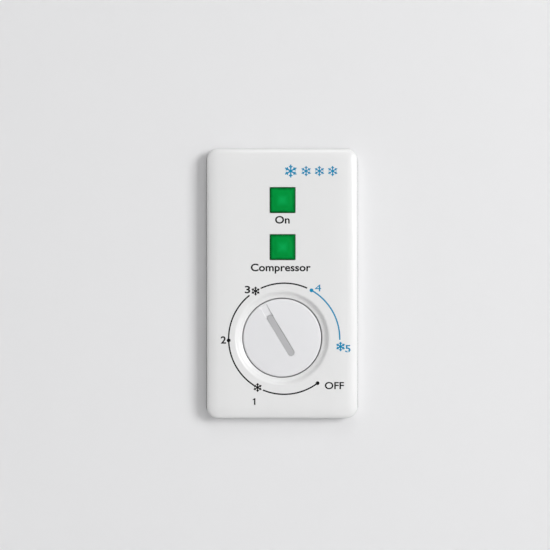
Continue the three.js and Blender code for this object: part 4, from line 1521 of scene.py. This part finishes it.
@dataclass
class Baskets:
    """Two hanging baskets of dipped wire that slide on the rim."""

    frame_wire: float = 2.6
    wire: float = 1.5
    pitch: float = 22.0
    corner: float = 16.0
    half_length: float = 239.0
    hanger_reach: float = 252.0  # of the hangers, from the basket's middle
    hanger_half: float = 90.0
    rings: tuple[float, ...] = (6.0, 70.0, 134.0)  # depths of the frames that run round
    taper: float = 0.6  # in at each frame further down

    def build(self) -> None:
        """Makes both baskets."""
        for side in ("left", "right"):
            self.basket(side)

    def basket(self, side: str) -> None:
        """Welds one basket: rim and base frames, cross wires both ways, and its two hangers.

        Args:
            side: Which basket.
        """
        box = Extent.of("basket_" + side)
        x, low, top = box.middle.x, box.low.z, box.high.z
        half_x, half_y = box.size.x / 2 - self.frame_wire, self.half_length - self.frame_wire
        shape = Shape()
        rim = top - self.rings[0]
        for number, depth in enumerate(self.rings):
            z, a, b = top - depth, half_x - number * self.taper, half_y - number * self.taper
            ring = [(x - a, -b, z), (x + a, -b, z), (x + a, b, z), (x - a, b, z)]
            wire = self.wire if number else self.frame_wire
            shape.sweep(path_round(ring, self.corner, True), wire, 8, True)
        count_y, count_x = int(2 * half_y / self.pitch), int(2 * half_x / self.pitch)
        for step in range(count_y + 1):
            y = -half_y + self.corner * 0.6 + (2 * half_y - self.corner * 1.2) * step / count_y
            a, z = half_x - 1.2, low + self.wire
            path = [(x - a, y, rim), (x - a, y, z), (x + a, y, z), (x + a, y, rim)]
            shape.sweep(path_round(path, self.corner), self.wire, 6)
        for step in range(count_x + 1):
            u = x - half_x + self.corner * 0.6 + (2 * half_x - self.corner * 1.2) * step / count_x
            b, z = half_y - 1.2, low + 3 * self.wire - 0.4
            path = [(u, -b, rim), (u, -b, z), (u, b, z), (u, b, rim)]
            shape.sweep(path_round(path, self.corner), self.wire, 6)
        for sy in (-1, 1):
            y, out, z = sy * half_y, sy * self.hanger_reach, top - self.frame_wire - 0.2
            left, right = x - self.hanger_half, x + self.hanger_half
            hanger = [(left, y, z - 4), (left, out, z), (right, out, z), (right, y, z - 4)]
            shape.sweep(path_round(hanger, 8), self.frame_wire, 8)
        shape.piece("wire_basket_" + side, WHITE_WIRE, "basket_" + side, ["basket_" + side])


# ---------------------------------------------------------------- studio


@dataclass
class Studio:
    """The pale floor, the soft lights and the camera."""

    lens: float = 100.0
    sensor: float = 36.0
    seen_width: float = 290.0  # of the panel's plane, in millimetres
    spread: float = 100.0  # of each lamp's beam, in degrees
    room: float = 0.29  # strength of the light from all round
    aim: tuple[float, float] = (-3.8, 4.4)  # from the panel's middle

    def build(self, panel: ThermostatPanel) -> None:
        """Makes everything that isn't part of the freezer.

        Args:
            panel: The panel the camera looks at.
        """
        self.floor()
        self.world()
        on_panel, on_middle, on_body = panel.middle * MM, Vector((0, 0, 0.5)), Vector((0, 0, 0.45))
        self.light("key", (2.8, -2.7, 1.05), on_panel, 1.4, 23.5)
        self.light("fill", (-2.6, -2.2, 1.2), on_panel, 0.9, 1.4)
        self.light("front_top", (0.7, -2.2, 2.6), on_panel, 0.8, 3.0)
        self.light("overhead", (0.2, -0.2, 3.6), on_middle, 3.0, 2.2)
        self.light("rear", (-2.4, 4.8, 4.2), on_body, 2.8, 42.0)
        self.camera(panel)
        bpy.context.scene.view_settings.view_transform = "Standard"

    def floor(self) -> None:
        """Lays a wide pale floor."""
        mesh = bmesh.new()
        bmesh.ops.create_grid(mesh, x_segments=1, y_segments=1, size=30.0)
        data = bpy.data.meshes.new("floor")
        mesh.to_mesh(data)
        mesh.free()
        floor = bpy.data.objects.new("floor", data)
        bpy.context.scene.collection.objects.link(floor)
        paint = bpy.data.materials.new("pale_floor")
        paint.use_nodes = True
        shader = paint.node_tree.nodes["Principled BSDF"]
        shader.inputs["Base Color"].default_value = shade(232, 232, 232)
        shader.inputs["Roughness"].default_value = 0.6
        data.materials.append(paint)

    def world(self) -> None:
        """Gives the room an even, pale light."""
        world = bpy.data.worlds.new("room")
        world.use_nodes = True
        back = world.node_tree.nodes["Background"]
        back.inputs["Color"].default_value = (1.0, 1.0, 1.0, 1)
        back.inputs["Strength"].default_value = self.room
        bpy.context.scene.world = world

    def light(self, name: str, spot: Sequence[float], target: Vector, size: float, power: float) -> None:
        """Hangs a square soft light.

        Args:
            name: The light's name.
            spot: Where it hangs, in metres.
            target: What it points at.
            size: Its side, in metres.
            power: Its power, in watts.
        """
        data = bpy.data.lights.new(name, "AREA")
        data.size, data.energy, data.spread = size, power, math.radians(self.spread)
        item = bpy.data.objects.new(name, data)
        item.location = spot
        item.rotation_euler = (Vector(target) - Vector(spot)).to_track_quat("-Z", "Y").to_euler()
        item.visible_camera = False
        bpy.context.scene.collection.objects.link(item)

    def camera(self, panel: ThermostatPanel) -> None:
        """Stands the camera square on to the panel.

        Args:
            panel: The panel it looks at.
        """
        data = bpy.data.cameras.new("camera")
        data.lens, data.sensor_width = self.lens, self.sensor
        away = self.seen_width * self.lens / self.sensor
        item = bpy.data.objects.new("camera", data)
        spot = panel.middle + Vector((self.aim[0], -panel.front - away, self.aim[1]))
        item.location = spot * MM
        item.rotation_euler = (math.radians(90), 0, 0)
        bpy.context.scene.collection.objects.link(item)
        bpy.context.scene.camera = item


# ---------------------------------------------------------------- everything


def main() -> None:
    """Builds the freezer's sub-assemblies in order, then the studio round them."""
    logging.basicConfig(level=logging.INFO, format="%(message)s")
    panel = ThermostatPanel()
    panel.build()
    for assembly in (Cabinet(), Tub(), Lid(), Hinges(), Undercarriage(), CoolingUnit(), Baskets()):
        assembly.build()
    for node in ("cabinet_foam", "lid_foam"):
        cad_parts[node].material_slots[0].material = FOAM.material()
    Studio().build(panel)


if __name__ == "__main__":
    main()
